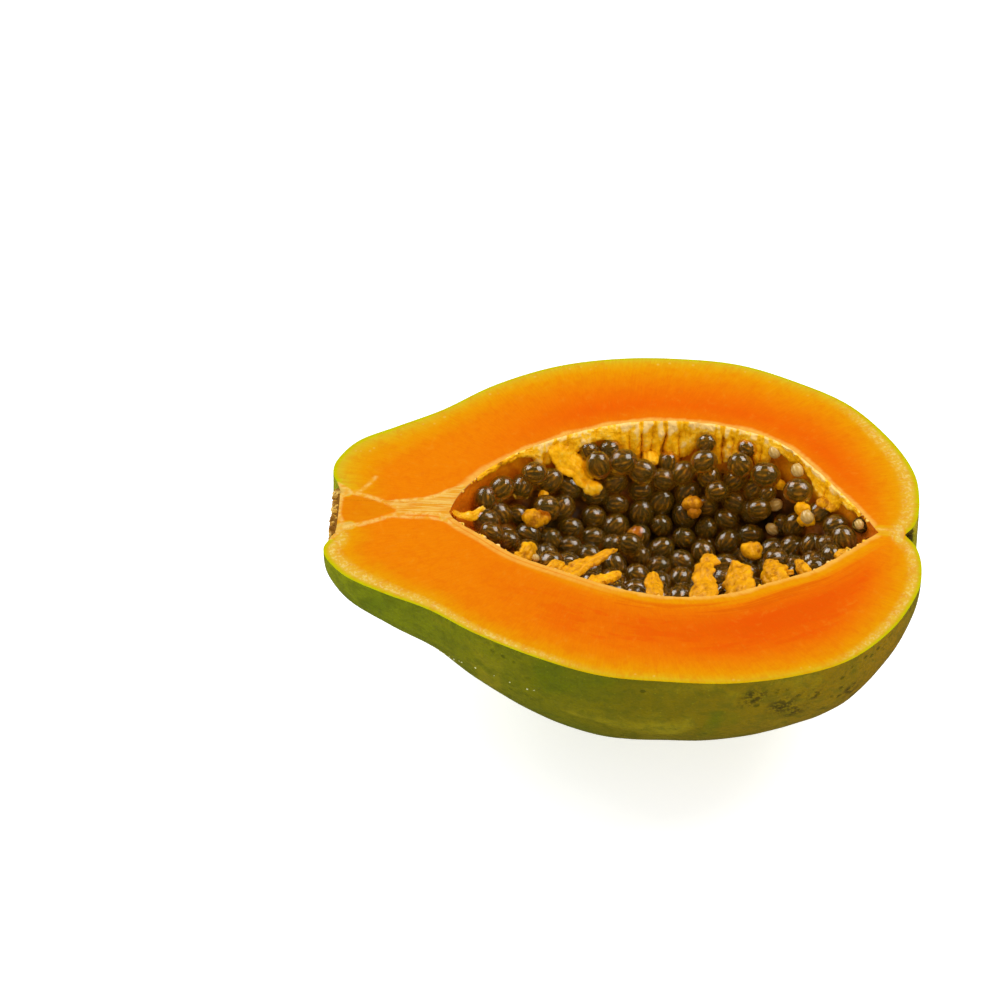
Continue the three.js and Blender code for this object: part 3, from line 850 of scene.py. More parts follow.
def fruit_skin_at(station, turn):
    """The skin's form with its own faint dents, creased round the pit and level on the resting spot."""
    point = skin_at(station, turn)
    edge = smoothstep(math.sin(turn), 0.0, 0.25)
    dent = 0.45 * lumps(point, 22, 3) + 0.12 * lumps(point, 6, 5)
    crease = 0.5 * smoothstep(station, 0.86, 0.96) * abs(math.sin(7.5 * turn + 2 * lumps(point, 30, 8)))
    outward = Vector((0, point.y, point.z))
    if outward.length > 1:
        point += outward.normalized() * edge * (dent - crease)
    point.z = max(point.z, FLAT_AT)
    return point


def fruit_hollow_at(station, turn):
    """The hollow's wall behind its folded tissue, with a lumpy grain and a slightly wandering rim."""
    point = cavity_at(station, turn)
    middle = Vector((point.x, clear_at(station, 0).lerp(clear_at(station, math.pi), 0.5).y, 0))
    inward = middle - point
    if inward.length < 0.5:
        return point
    level = smoothstep(math.sin(turn), 0.0, 0.12)
    rough = 0.22 * lumps(point, 1.6, 12) + 0.4 * level * lumps(point, 3.6, 15)
    step = inward.normalized() * rough
    return point + (step if level > 0 else Vector((step.x, step.y, 0)))


def half_blank(name, point_at):
    """A sphere whose rings and columns are laid on a form, less the half above the cut face."""
    deselect_all()
    bpy.ops.mesh.primitive_uv_sphere_add(segments=SKIN_COLUMNS, ring_count=RINGS, radius=1)
    blank = started(name)
    stations, turns, above = [], [], []
    for vertex in blank.data.vertices:
        station = math.acos(min(max(vertex.co.z, -1), 1)) / math.pi
        turn = math.atan2(vertex.co.y, vertex.co.x) if 1e-6 < station < 1 - 1e-6 else math.pi / 2
        if abs(turn) > math.pi - 1e-3:
            turn = math.pi
        if turn < -1e-3:
            above.append(vertex.index)
        turn = max(turn, 0.0)
        stations.append(station)
        turns.append(turn)
        vertex.co = point_at(station, turn)
    set_values(blank.data, "station", stations)
    set_values(blank.data, "turn", turns)
    drop_vertices(blank, set(above))
    return blank


def mark_bruises(mesh):
    """Stores how bruised each point of the skin is."""
    spots = [(fruit_skin_at(at, math.radians(turn)), size) for at, turn, size in BRUISES]

    def bruise_at(point):
        return max(smoothstep((point - spot).length, 1.8 * size, 0.7 * size) for spot, size in spots)

    set_values(mesh, "bruise", [bruise_at(vertex.co) for vertex in mesh.vertices])


def drop_vertices(piece, indices):
    pick(piece)
    bpy.ops.object.mode_set(mode="EDIT")
    bpy.ops.mesh.select_all(action="DESELECT")
    mesh = bmesh.from_edit_mesh(piece.data)
    for vertex in mesh.verts:
        vertex.select = vertex.index in indices
    mesh.select_flush(True)
    bmesh.update_edit_mesh(piece.data)
    bpy.ops.mesh.delete(type="VERT")
    bpy.ops.object.mode_set(mode="OBJECT")


def select_faces(piece, wanted):
    """In edit mode, selects just the faces that a test on their middle and normal wants."""
    mesh = bmesh.from_edit_mesh(piece.data)
    for face in mesh.faces:
        face.select = wanted(face.calc_center_median(), face.normal)
    mesh.select_flush_mode()
    bmesh.update_edit_mesh(piece.data)


# Pale strands and soft cream patches at the ends of the cut face, each as a line of [x, y], its half width
# and how strong it is.
STRANDS = [
    ([(-71.9, 9.4), (-70, 8), (-68.9, 6.7), (-66, 6.1), (-62.9, 5.1), (-59.8, 3.9), (-56.6, 2.2)], 0.4, 1),
    ([(-69.6, 6.4), (-70.8, 4.6), (-71.1, 1.4), (-70.9, -1.6), (-69.8, -4.2)], 0.5, 1),
    ([(-72.4, -9.3), (-70.2, -5.9), (-67.8, -5), (-64.8, -4.1), (-61.4, -2.6), (-57, -0.4)], 0.45, 1),
    ([(-68.6, 6.4), (-65.7, 7.6), (-63.8, 10.1), (-62.5, 12.3)], 0.22, 1),
    ([(-56.9, 4.3), (-53.3, 4.9), (-49.6, 5.5), (-46.2, 7.0), (-43.4, 9.0)], 0.3, 1),
    ([(-57.0, -0.4), (-53.0, 0.3), (-49.2, 0.5), (-45.4, 0.4), (-43.8, -0.4)], 0.4, 1),
    ([(-56.9, -0.9), (-52.9, -1.1), (-47.9, -1.0), (-44.0, -1.6), (-41.1, -3.5)], 0.28, 1),
    ([(64.6, 1.6), (67.4, 1.4), (70.8, 0.7)], 0.15, 1),
]
CREAM = [
    ([(-71.9, 8.0), (-70.6, 7.2), (-69.4, 6.6)], 1.1, 1),
    ([(-72.3, -8.2), (-71.2, -6.4), (-69.6, -5.2), (-67.8, -4.8)], 1.1, 1),
    ([(-40.0, 9.2), (-42.8, 6.0), (-44.6, 2.0), (-44.4, -1.0)], 0.6, 0.85),
    ([(-71.6, 6.0), (-71.9, 2.0), (-71.9, -2.0), (-72.0, -6.0)], 0.5, 0.7),
    ([(65.4, 1.2), (67.6, 1.0), (69.6, 0.8)], 1.5, 0.5),
    ([(70.2, 2.4), (70.6, 0.4), (70.2, -1.8)], 0.7, 1),
]
SCAR_ENDS = 0.1  # the station where the scar ends and the skin begins
STALK = [  # the outline of the stalk's fibres on the cut face
    (-59.4, 4.0), (-57.0, 4.6), (-53.3, 5.2), (-49.6, 5.8), (-46.2, 7.4), (-43.0, 9.6), (-40.0, 11.0),
    (-42.4, 3.0), (-41.6, -1.4), (-44.0, -0.6), (-49.2, 0.4), (-53.0, 0.3), (-56.8, 0.2), (-56.4, 1.5),
]
LENS = [  # the outline of the darker flesh between the strands
    (-70.5, 3.9), (-70.1, 5.4), (-68.6, 6.0), (-66.0, 5.6), (-62.9, 4.6), (-59.8, 3.3), (-56.7, 1.5),
    (-59.5, -0.4), (-62.4, -2.0), (-65.3, -3.4), (-67.8, -4.1), (-69.6, -3.3), (-70.4, -1.0),
]


def distance_to_line(x, y, line):
    best = 1e9
    for (ax, ay), (bx, by) in zip(line, line[1:]):
        dx, dy = bx - ax, by - ay
        share = min(max(((x - ax) * dx + (y - ay) * dy) / max(dx * dx + dy * dy, 1e-9), 0), 1)
        best = min(best, math.hypot(x - ax - share * dx, y - ay - share * dy))
    return best


def rim_finder(point_at, first=0.0):
    """Finds how far a point of the cut face lies from the outline of a form, from a station onwards."""
    steps = 2400
    tree = kdtree.KDTree(2 * steps)
    for index in range(2 * steps):
        turn = 0.0 if index < steps else math.pi
        tree.insert(point_at(first + (1 - first) * (index % steps + 0.5) / steps, turn), index)
    tree.balance()
    return lambda x, y: tree.find((x, y, 0))[2]


def inside(x, y, outline):
    """How far inside an outline a point lies, and below zero outside it."""
    odd = False
    for (ax, ay), (bx, by) in zip(outline, outline[1:] + outline[:1]):
        if (ay > y) != (by > y) and x < ax + (bx - ax) * (y - ay) / (by - ay):
            odd = not odd
    away = distance_to_line(x, y, outline + outline[:1])
    return away if odd else -away


def on_lines(x, y, lines, outer, inner):
    """How fully a place lies on one of some soft lines."""
    return max(
        strength * smoothstep(distance_to_line(x, y, line), half + outer, half - inner)
        for line, half, strength in lines
    )


def marks_at(x, y, from_skin, from_hollow):
    """All that the cut flesh is coloured by: how deep a place lies, how far round, and what grows there."""
    slow_stem = 0.56 + 0.44 * smoothstep(x, -72, -34 + 12 * smoothstep(y, 4, -6))
    slow_blossom = 1 - 0.3 * smoothstep(x, 50, 72)
    fast_near = 1 + 0.3 * smoothstep(y, 6, -8)
    on_near = smoothstep(y, 4, -6)
    flecked_near = 0.6 * smoothstep(y, 2, -12) * smoothstep(x, 0, -30)
    unripe_near = min(max((34 - x) / 84, 0), 0.95) * on_near
    return {
        "under_skin": from_skin(x, y) * slow_stem * slow_blossom * fast_near,
        "off_hollow": from_hollow(x, y),
        "around": math.atan2(y - 4, 0.72 * x) * 42,
        "near_rim": on_near * smoothstep(x, -40, 0),
        "left_rim": smoothstep(x, 6, -16) * smoothstep(y, 6, 0),
        "apex": smoothstep(x, -26, -41),
        "flecked": max(flecked_near, 0.5 * smoothstep(x, 50, 66)),
        "unripe": max(unripe_near, min(max((-10 - x) / 34, 0), 0.9)),
        "stalk": smoothstep(inside(x, y, STALK), -0.35, 0.25) if -62 < x < -40 else 0.0,
        "lens": smoothstep(inside(x, y, LENS), -0.3, 0.3) if x < -54 else 0.0,
        "strands": on_lines(x, y, STRANDS, 0.55, 0.2) if x < -22 or x > 62 else 0.0,
        "cream": on_lines(x, y, CREAM, 0.9, 0.3) if x < -34 or x > 62 else 0.0,
    }


def mark_cut_face(mesh):
    """Stores the marks of every point of the cut face, and none for the points below it."""
    rims = rim_finder(skin_at, SCAR_ENDS), rim_finder(cavity_at)
    unmarked = dict.fromkeys(marks_at(0, 0, *rims), 0.0)
    marks = [
        unmarked if vertex.co.z < ON_FACE else marks_at(vertex.co.x, vertex.co.y, *rims)
        for vertex in mesh.vertices
    ]
    for name in unmarked:
        set_values(mesh, name, [mark[name] for mark in marks])


def lay_cut_face(fruit):
    """In edit mode, bridges the rim of the skin and the rim of the hollow, station for station, by rows of
    faces that lie closest together beside the two rims."""
    mesh = bmesh.from_edit_mesh(fruit.data)
    layers = mesh.verts.layers.float
    station_of, turn_of, is_hollow = (layers[name] for name in ("station", "turn", "is_hollow"))
    rims = {0: [], 1: []}
    for vertex in mesh.verts:
        if vertex.is_boundary:
            rims[round(vertex[is_hollow])].append(vertex)

    def way_round(vertex):
        """From the stem along the far edge to the blossom end, then back along the near edge."""
        station = vertex[station_of]
        return 2 - station if vertex[turn_of] > 1.6 else station

    outer, inner = (sorted(rims[key], key=way_round) for key in (0, 1))
    rows = [outer]
    for cut in range(1, FACE_CUTS + 1):
        share = cut / (FACE_CUTS + 1)
        share = 0.5 * share + 0.5 * (0.5 - 0.5 * math.cos(math.pi * share))
        rows.append([mesh.verts.new(a.co.lerp(b.co, share)) for a, b in zip(outer, inner)])
    rows.append(inner)
    for first, second in zip(rows, rows[1:]):
        for index in range(len(outer)):
            after = (index + 1) % len(outer)
            mesh.faces.new((first[index], first[after], second[after], second[index]))
    bmesh.update_edit_mesh(fruit.data)


def papaya_half():
    """Skin, cut face and hollow as one closed body: two half blanks, bridged across the cut face."""
    skin = half_blank("skin_blank", fruit_skin_at)
    mark_bruises(skin.data)
    hollow = half_blank("hollow_blank", fruit_hollow_at)
    for index, blank in enumerate((skin, hollow)):
        set_values(blank.data, "is_hollow", [float(index)] * len(blank.data.vertices))

    def by_the_stalk(centre, normal):
        return normal.z > 0.99 and centre.z > ON_FACE and centre.x < -26 and abs(centre.y) < 16

    fruit = joined("papaya_half", [skin, hollow])
    pick(fruit)
    bpy.ops.object.mode_set(mode="EDIT")
    lay_cut_face(fruit)
    bpy.ops.mesh.select_all(action="SELECT")
    face_outwards()
    bpy.ops.mesh.select_mode(type="FACE")
    select_faces(fruit, by_the_stalk)
    bpy.ops.mesh.subdivide(number_cuts=2)
    bpy.ops.mesh.select_mode(type="VERT")
    bpy.ops.object.mode_set(mode="OBJECT")
    mark_cut_face(fruit.data)
    assign_fruit_finishes(fruit)
    return finished(fruit, "fruit_half", "flesh", angle=CUT_ANGLE)


def assign_fruit_finishes(fruit):
    """Slot 0 is the skin, slot 1 the cut face and slot 2 the hollow's wall."""
    for material in (skin_finish(), flesh_finish(), lining_finish()):
        fruit.data.materials.append(material)
    is_hollow = fruit.data.attributes["is_hollow"].data
    vertices = fruit.data.vertices
    for face in fruit.data.polygons:
        if all(vertices[index].co.z > ON_FACE for index in face.vertices) and face.normal.z > 0.9:
            face.material_index = 1
        elif sum(is_hollow[index].value for index in face.vertices) / len(face.vertices) > 0.5:
            face.material_index = 2


# ---- Torn tissue ----
TONGUE_GRID = (14, 36)
TONGUE_THICK = 1.2
CURTAIN_GRID = (360, 34)
CURTAIN_THICK = 1.1
CRUMBS = 150
CRUMB_DRAW = 911


def sheet_blank(name, columns, rows):
    """A flat grid, 2 by 2, that a sheet of tissue is laid out from."""
    deselect_all()
    bpy.ops.mesh.primitive_grid_add(x_subdivisions=columns, y_subdivisions=rows, size=2)
    return started(name)


def tongue(blank, index, line, pale):
    """A torn tongue along a line, ragged at its sides, rounded at its tip and hollowed across."""
    piece = copied(blank, "tongue")
    line_at = smooth_line(line)
    for vertex in piece.data.vertices:
        across, along = vertex.co.x, (vertex.co.y + 1) / 2
        side = math.copysign(3, across)
        tip = 0.12 * lumps((1.4 * across, 9, index), 1, 5) * smoothstep(along, 0.5, 1)
        reach = min(max(along * (1 + tip), 0.0), 1.0)
        x, y, z, half = line_at(reach)
        before, after = line_at(max(reach - 0.04, 0)), line_at(min(reach + 0.04, 1))
        way = (Vector(after[:3]) - Vector(before[:3])).normalized()
        across_way = way.cross(TONGUE_FACES - Vector((x, y, z))).normalized()
        up_way = across_way.cross(way)
        ragged = 1 + 0.4 * lumps((along * 5, side, index), 1, 7)
        ragged += 0.28 * lumps((along * 12, side, 0), 1, index)
        ragged += 0.2 * lumps((along * 24, side, 4), 1, 2)
        rounded = max(1 - along ** 6, 0.08) ** 0.5
        place = Vector((x, y, z)) + across_way * (half * across * ragged * rounded)
        crumple = 1.0 * lumps(place, 3.6, index) + 0.25 * lumps(place, 1.3, index + 7)
        crumple += 0.16 * math.sin(9 * across + 4 * along + index)
        vertex.co = place + up_way * (crumple - 0.22 * half * across * across)
    set_values(piece.data, "pale", [pale] * len(piece.data.vertices))
    return piece


def station_at_rim(x):
    """The station where the far rim of the hollow reaches this far along X."""
    return halved(0.0, 1.0, lambda station: cavity_at(station, 0).x < x)[0]


def along_curtain(x):
    """How far the curtain hangs and stands off at a place along the rim."""
    for (x0, hang0, off0), (x1, hang1, off1) in zip(CURTAIN, CURTAIN[1:]):
        if x <= x1:
            share = smoothstep(x, x0, x1)
            return hang0 + (hang1 - hang0) * share, off0 + (off1 - off0) * share
    return CURTAIN[-1][1:]


def curtain():
    """The folded tissue that hangs from the far rim, with a scalloped lower edge and narrow slits."""
    piece = sheet_blank("curtain", *CURTAIN_GRID)
    first, last = CURTAIN[0][0], CURTAIN[-1][0]
    under_at = smooth_line(CAVITY["under"])
    stations = {}
    tone_and_painted_shade = []
    for vertex in piece.data.vertices:
        share, down = (vertex.co.x + 1) / 2, (1 - vertex.co.y) / 2
        x = first + (last - first) * share
        if x not in stations:
            stations[x] = station_at_rim(x)
        station = stations[x]
        sway = 0.9 * lumps((x, 3 * down, 0), 2, 3) * down
        near_by = [along_curtain(x + sway + step) for step in (-1.2, -0.7, -0.25, 0.25, 0.7, 1.2)]
        hang, stands = (sum(values) / 6 for values in zip(*near_by))
        hang *= 1 + 0.16 * lumps((x, 0, 0), 1.9, 21) + 0.10 * lumps((x, 5, 0), 0.7, 22)
        drop = 0.05 + hang * down
        turn = math.asin(min(drop / max(under_at(station)[1], drop + 0.1), 1))
        bend = 0.7 * lumps((x * 0.2, 2.2 * down, 0), 1, 30)
        slit = max(deep * smoothstep(abs(x - at + bend), half + 0.5, half * 0.5) for at, half, deep in SLITS)
        swell = 0.8 * lumps((x, 0.4 * drop, 0), 2.3, 23)
        swell += 0.35 * lumps((x, 0.3 * drop, 3), 0.9, 24)
        off = -0.6 + (stands + 0.6) * down ** 0.55 + swell * smoothstep(down, 0.02, 0.3)
        off -= 0.7 * smoothstep(down, 0.8, 1) + 0.9 * off * slit * smoothstep(down, 0.12, 0.35)
        vertex.co = off_cut_wall(station, turn, off)
        fringe = smoothstep(down, 0.34, 0.04) * (0.75 + lumps((x, 2 * down, 7), 0.8, 26))
        patchy = 0.3 * lumps((x, 0.5 * drop, 9), 3.4, 27)
        # Painted light and shade: the curtain is paler where it swells out and darker in its slits and
        # towards its left end; the pale fringe at its top and the patchy tone are its own colour.
        shaded = 0.3 * smoothstep(x, -22, -28)
        tone_and_painted_shade.append(0.6 + 0.5 * fringe + 0.2 * swell + patchy - 0.72 * slit - shaded)
    set_values(piece.data, "pale", tone_and_painted_shade)
    applied(piece, "SOLIDIFY", thickness=CURTAIN_THICK, offset=0.0)
    return roughened(piece, 0.34)


def off_cut_wall(station, turn, off):
    """The point that lies off the wall as it is cut, before any fold, and below the cut face."""
    far, near = cavity_at(station, 0), cavity_at(station, math.pi)
    edge = cavity_at(station, turn)
    inward = Vector((edge.x, (far.y + near.y) / 2, 0)) - edge
    return edge + inward.normalized() * off


def roughened(piece, depth):
    """Lumps and grain raised on every face of a piece of tissue, with painted light on their crests and
    painted shade in their creases.
    """
    tone_and_painted_shade = piece.data.attributes["pale"].data
    moves = []
    for vertex in piece.data.vertices:
        rise = 1.0 * lumps(vertex.co, 2.1, 41) + 0.8 * lumps(vertex.co, 0.95, 42)
        rise += 0.5 * lumps(vertex.co, 0.45, 43)
        moves.append(vertex.co + vertex.normal * depth * rise)
        # Painted light and shade: each point's tone follows how far it was raised, paler on crests and darker
        # in creases.
        tone_and_painted_shade[vertex.index].value += 0.22 * rise
    for vertex, place in zip(piece.data.vertices, moves):
        place.z = min(place.z, -0.04)
        vertex.co = place
    return piece


def tissue_lump(blank, index, place, size, pale):
    """A loose lump of tissue, ribbed and uneven."""
    piece = copied(blank, "lump")
    for vertex in piece.data.vertices:
        point = vertex.co.copy()
        bulge = 1 + 0.3 * lumps(point, 1.2, index) + 0.05 * math.sin(10 * point.x + 2 * point.z + index)
        vertex.co = Vector(place) + Vector((point.x * 1.12, point.y, point.z * 0.8)) * size * bulge
    set_values(piece.data, "pale", [pale] * len(piece.data.vertices))
    return roughened(piece, 0.12)


def rim_crumbs(blank):
    """Small pale crumbs that cling to the rim of the hollow, thickest along its near edge."""
    random = random_stream(CRUMB_DRAW)
    crumbs = []
    for index in range(CRUMBS):
        station = 0.09 + 0.84 * random()
        turn = math.pi if random() < 0.75 else 0.0
        size = 0.25 + 0.4 * random() ** 2
        below = math.radians(0.5 + 5 * random())
        edge = off_cut_wall(station, below if turn == 0.0 else math.pi - below, 0.25 * size)
        crumb = copied(blank, "crumb")
        for vertex in crumb.data.vertices:
            vertex.co = edge + vertex.co * size * (1 + 0.5 * lumps(vertex.co, 0.8, index))
            vertex.co.z = min(vertex.co.z, -0.03)
        set_values(crumb.data, "pale", [0.6 + 0.4 * random()] * len(crumb.data.vertices))
        crumbs.append(crumb)
    return crumbs


def torn_tissue():
    """The torn lining: the curtain on the far wall, the tongues over the seeds, the lumps and the crumbs."""
    strip = sheet_blank("tongue_blank", *TONGUE_GRID)
    pales = [PALE_TONGUES.get(index, TONGUE_PALE) for index in range(len(TONGUES))]
    tongues = [tongue(strip, index, *each) for index, each in enumerate(zip(TONGUES, pales))]
    tongues = joined("torn_tongues", tongues)
    applied(tongues, "SOLIDIFY", thickness=TONGUE_THICK, offset=0.0)
    applied(tongues, "SUBSURF", levels=1, render_levels=1)
    roughened(tongues, 0.17)
    large = ball("lump_blank", 4)
    loose = [tissue_lump(large, index, *lump) for index, lump in enumerate(TISSUE_LUMPS)]
    loose = joined("tissue_lumps", loose)
    small = ball("crumb_blank", 2)
    crumbs = joined("rim_crumbs", rim_crumbs(small))
    golden = tissue_finish()
    put_away(strip, large, small)
    for piece in (tongues, curtain(), loose, crumbs):
        finished(piece, "fruit_half", "flesh", golden)


# ---- The seeds ----
KERNEL_SHARE = 0.58  # the dark seed's radius over that of its gel coat
RIDGES = 9
FILLER_TRIES = 1400
WALL_DRAW = 417
BED_GRID = (110, 72)


def seed_place(centre, size, tumble):
    turn = Matrix.Rotation(tumble[0], 4, "X") @ Matrix.Rotation(tumble[1], 4, "Z")
    return Matrix.Translation(centre) @ turn @ Matrix.Diagonal((size, size * SEED_LONG, size, 1))


def kernel(blank, seed, index, share, drawn_out=1.0):
    """One seed, with ridges of its own."""
    piece = copied(blank, "kernel")
    place = seed_place(*seed)
    crests = []
    for vertex in piece.data.vertices:
        x, y, z = vertex.co
        turn = math.atan2(z, x)
        wave = math.cos(RIDGES * turn + 1.6 * lumps(vertex.co, 0.7, index))
        broken = lumps(vertex.co, 0.28, index + 50)
        crest = max(0.0, wave) * (1 - y ** 4) * (0.7 + 0.7 * broken) + 0.5 * max(broken, 0)
        crests.append(min(max(crest, 0.0), 1.0))
        vertex.co = vertex.co * share * (1 + 0.10 * crest)
        vertex.co.y *= drawn_out
    set_values(piece.data, "crest", crests)
    piece.data.transform(place)
    return piece


def gel_coat(blank, seed, index):
    piece = copied(blank, "gel")
    for vertex in piece.data.vertices:
        vertex.co = vertex.co * (0.98 + 0.045 * lumps(vertex.co, 0.8, index + 9))
    piece.data.transform(seed_place(*seed))
    return piece


def filler_seeds(bodies):
    """Seeds that lie deeper, in the holes that the upper ones and the torn tissue leave."""
    tissue = [Vector(spot[:3]) for line in TONGUES for spot in line]
    tissue += [Vector(lump[0]) for lump in TISSUE_LUMPS]
    random = random_stream(FILLER_DRAW)
    fillers = []
    for _ in range(FILLER_TRIES):
        station = 0.13 + 0.78 * random()
        turn = math.radians(18 + 147 * random())
        off = SEED_RADIUS + 1.0 + (lining_off(station, turn) - SEED_RADIUS) * random()
        centre = off_wall(station, turn, off)
        size = SEED_RADIUS * (0.86 + 0.16 * random())
        tumble = (TAU * random(), TAU * random())
        near = min((centre - other[0]).length / (size + other[1]) for other in bodies + fillers)
        off_tissue = min((centre - spot).length for spot in tissue)
        if near > 0.74 and off_tissue > size + 1.2 and centre.z + size < -4.5:
            fillers.append((centre, size, tumble))
    return fillers


def cut_seed(blank):
    """A seed that the knife opened, at the blossom end: a dark shell with its cream inside."""
    shell_at = Vector(CUT_SEED)
    shell = kernel(blank, (shell_at, 2.1, (0.4, 1.0)), 90, 0.9)
    cream = kernel(blank, (shell_at + Vector((-0.35, -0.6, 0.95)), 1.35, (0.2, 0.5)), 91, 0.9)
    return shell, cream


def seeds_and_gel():
    """The solids' seeds, two of them unripe, with a few more, each dark one in its gel coat."""
    places = seed_places()
    unripe = {}
    for target, share in PALE_SEEDS_NEAR:
        off_target = [(place[0] - Vector(target)).length for place in places]
        unripe[off_target.index(min(off_target))] = share
    bodies = [(centre, size * unripe.get(index, 1)) for index, (centre, size, _) in enumerate(places)]
    draw = random_stream(WALL_DRAW)
    on_wall = [(Vector(spot), size, (TAU * draw(), TAU * draw())) for spot, size in WALL_SEEDS]
    places += on_wall
    places += filler_seeds(bodies + [seed[:2] for seed in on_wall])
    dark = [index for index in range(len(places)) if index not in unripe]
    blank, coat = ringed_ball("kernel_blank", 27, 12), ringed_ball("gel_blank", 24, 14)
    shell, cream = cut_seed(blank)
    kernels = [kernel(blank, places[index], index, KERNEL_SHARE) for index in dark] + [shell]
    kernels = joined("seed_kernels", kernels)
    coats = joined("seed_gel_coats", [gel_coat(coat, places[index], index) for index in dark])
    pale = [kernel(blank, places[index], index, share, 1.22) for index, share in unripe.items()]
    for spot, size in PALE_EXTRA:
        pale.append(kernel(blank, (Vector(spot), size, (0.5, 0.3 * size)), 60 + size, 1.0))
    pale = joined("pale_seeds", pale + [cream])
    put_away(blank, coat)
    for piece, finish in ((kernels, kernel_finish), (coats, gel_finish), (pale, pale_seed_finish)):
        finished(piece, "seeds", "seeds", finish())


def seed_bed():
    """The pulp under the seeds: a bowl, its back to the fruit wall and its face below the seeds' middles."""
    edges = {}

    def edge_turn(station, near_side):
        if (station, near_side) not in edges:
            edges[station, near_side] = found_edge(station, near_side)
        return edges[station, near_side]

    def found_edge(station, near_side):
        rim = math.pi if near_side else 0.0
        return halved(rim, math.pi / 2, lambda turn: off_wall(station, turn, GAP).z > PULP_TOP)[1]

    def sheet_at(off_at):
        def at(station, turn):
            station = 0.12 + 0.80 * station
            first, last = edge_turn(station, False), edge_turn(station, True)
            turn = first + (last - first) * turn / math.pi
            return off_wall(station, turn, off_at(station, turn))

        return at

    def bed_off(station, turn):
        """Thin at its upper edges, so that no flat lid shows there."""
        first, last = edge_turn(station, False), edge_turn(station, True)
        share = smoothstep(min(turn - first, last - turn), 0.0, 0.35)
        return GAP + 0.3 + (lining_off(station, turn) - PULP_BELOW - GAP - 0.3) * share

    back = sheet_at(lambda station, turn: GAP)
    face = sheet_at(bed_off)
    rows, columns = BED_GRID
    mesh = bpy.data.meshes.new("seed_bed")
    points, faces = [], []
    for at in (back, face):
        for row in range(rows + 1):
            for column in range(columns + 1):
                point = at(row / rows, math.pi * column / columns)
                if at is face:
                    point.z += 1.0 * lumps(point, 3.0, 31) + 0.5 * lumps(point, 1.3, 32)
                points.append(point)
    wide = columns + 1
    layer = (rows + 1) * wide
    for row in range(rows):
        for column in range(columns):
            corner = row * wide + column
            quad = (corner, corner + 1, corner + wide + 1, corner + wide)
            faces.append(quad)
            faces.append(tuple(layer + index for index in reversed(quad)))
    border = list(range(wide))
    border += [row * wide + columns for row in range(1, rows + 1)]
    border += [rows * wide + column for column in range(columns - 1, -1, -1)]
    border += [row * wide for row in range(rows - 1, 0, -1)]
    for first, second in zip(border, border[1:] + border[:1]):
        faces.append((second, first, layer + first, layer + second))
    mesh.from_pydata(points, [], faces)
    bed = bpy.data.objects.new("seed_bed", mesh)
    bpy.context.collection.objects.link(bed)
    in_edit(bed, face_outwards)
    return finished(bed, "seeds", "seeds", pulp_and_painted_shade_finish())


# ---- Stem scar and sap ----
SCAR_THICK = 2.2
SCAR_SUNK = 0.6  # how far the middle of the scar's disc lies behind its face
KNOBS = 96
CUT_KNOBS = 9  # of these, the ones along the cut, spaced evenly
KNOB_DRAW = 733
KNOB_TOP = 0.3  # how far a knob may stand above the cut
KNOB_ANGLE = 60


def scar_disc(face_at):
    """The corky disc that the knobs stand on, ringed by insets and cut off level with the cut face."""
    deselect_all()
    bpy.ops.mesh.primitive_cylinder_add(
        vertices=40, radius=SCAR_RADIUS, depth=SCAR_THICK, location=(face_at + SCAR_SUNK, 0, 0),
        rotation=(0, math.pi / 2, 0),
    )
    disc = started("scar_disc")
    bpy.ops.object.transform_apply(location=True, rotation=True, scale=True)
    pick(disc)
    bpy.ops.object.mode_set(mode="EDIT")
    bpy.ops.mesh.select_mode(type="FACE")
    select_faces(disc, lambda centre, normal: normal.x < -0.9)
    for _ in range(5):
        bpy.ops.mesh.inset(thickness=1.25, depth=0)
    bpy.ops.mesh.select_all(action="SELECT")
    bpy.ops.mesh.bisect(plane_co=(0, 0, -0.05), plane_no=(0, 0, 1), use_fill=True, clear_outer=True)
    bpy.ops.object.mode_set(mode="OBJECT")
    return disc


def knob(blank, index, centre, size):
    """One rough knob of cork, with a painted highlight on its crest and painted shade towards its sides;
    those along the cut are pale right up to the cut face.
    """
    piece = copied(blank, "knob")
    crests = []
    for vertex in piece.data.vertices:
        rough = 1 + 0.45 * lumps(vertex.co, 0.8, index) + 0.2 * lumps(vertex.co, 0.3, index)
        vertex.co = centre + Vector((vertex.co.x * 0.9, vertex.co.y, vertex.co.z)) * size * rough
        vertex.co.z = min(vertex.co.z, KNOB_TOP)
        below = 0 if index < CUT_KNOBS else vertex.co.z - centre.z
        aside = math.hypot(vertex.co.y - centre.y, below) / size
        # Painted light and shade: a knob is paler in its middle and darker where it meets its neighbours.
        crests.append(smoothstep(aside + 0.3 * lumps(vertex.co, 0.5, 8), 1.15, 0.6))
    set_values(piece.data, "crest", crests)
    return piece


def stem_scar():
    """The corky scar of the stalk: a rough disc with a crowd of small knobs, sliced level by the cut."""
    face_at = SKIN["far"][1][0]
    knobs = [scar_disc(face_at)]
    blank = ball("knob_blank", 3)
    random = random_stream(KNOB_DRAW)
    for index in range(KNOBS):
        reach = 0.6 + (SCAR_RADIUS - 1.0) * math.sqrt(random())
        turn = math.pi * random()
        size = 0.75 + 0.55 * random()
        if index < CUT_KNOBS:
            reach, size = abs(SCAR_RADIUS - 0.6 - 1.85 * index), 0.98
            turn = 0.09 if index < CUT_KNOBS // 2 + 1 else math.pi - 0.09
        off_face = face_at - 0.4 - 0.5 * random()
        centre = Vector((off_face, reach * math.cos(turn), -reach * math.sin(turn) - 0.75))
        knobs.append(knob(blank, index, centre, size))
    put_away(blank)
    scar = joined("stem_scar", knobs)
    in_edit(scar, face_outwards)
    return finished(scar, "fruit_half", "flesh", cork_finish(), angle=KNOB_ANGLE)


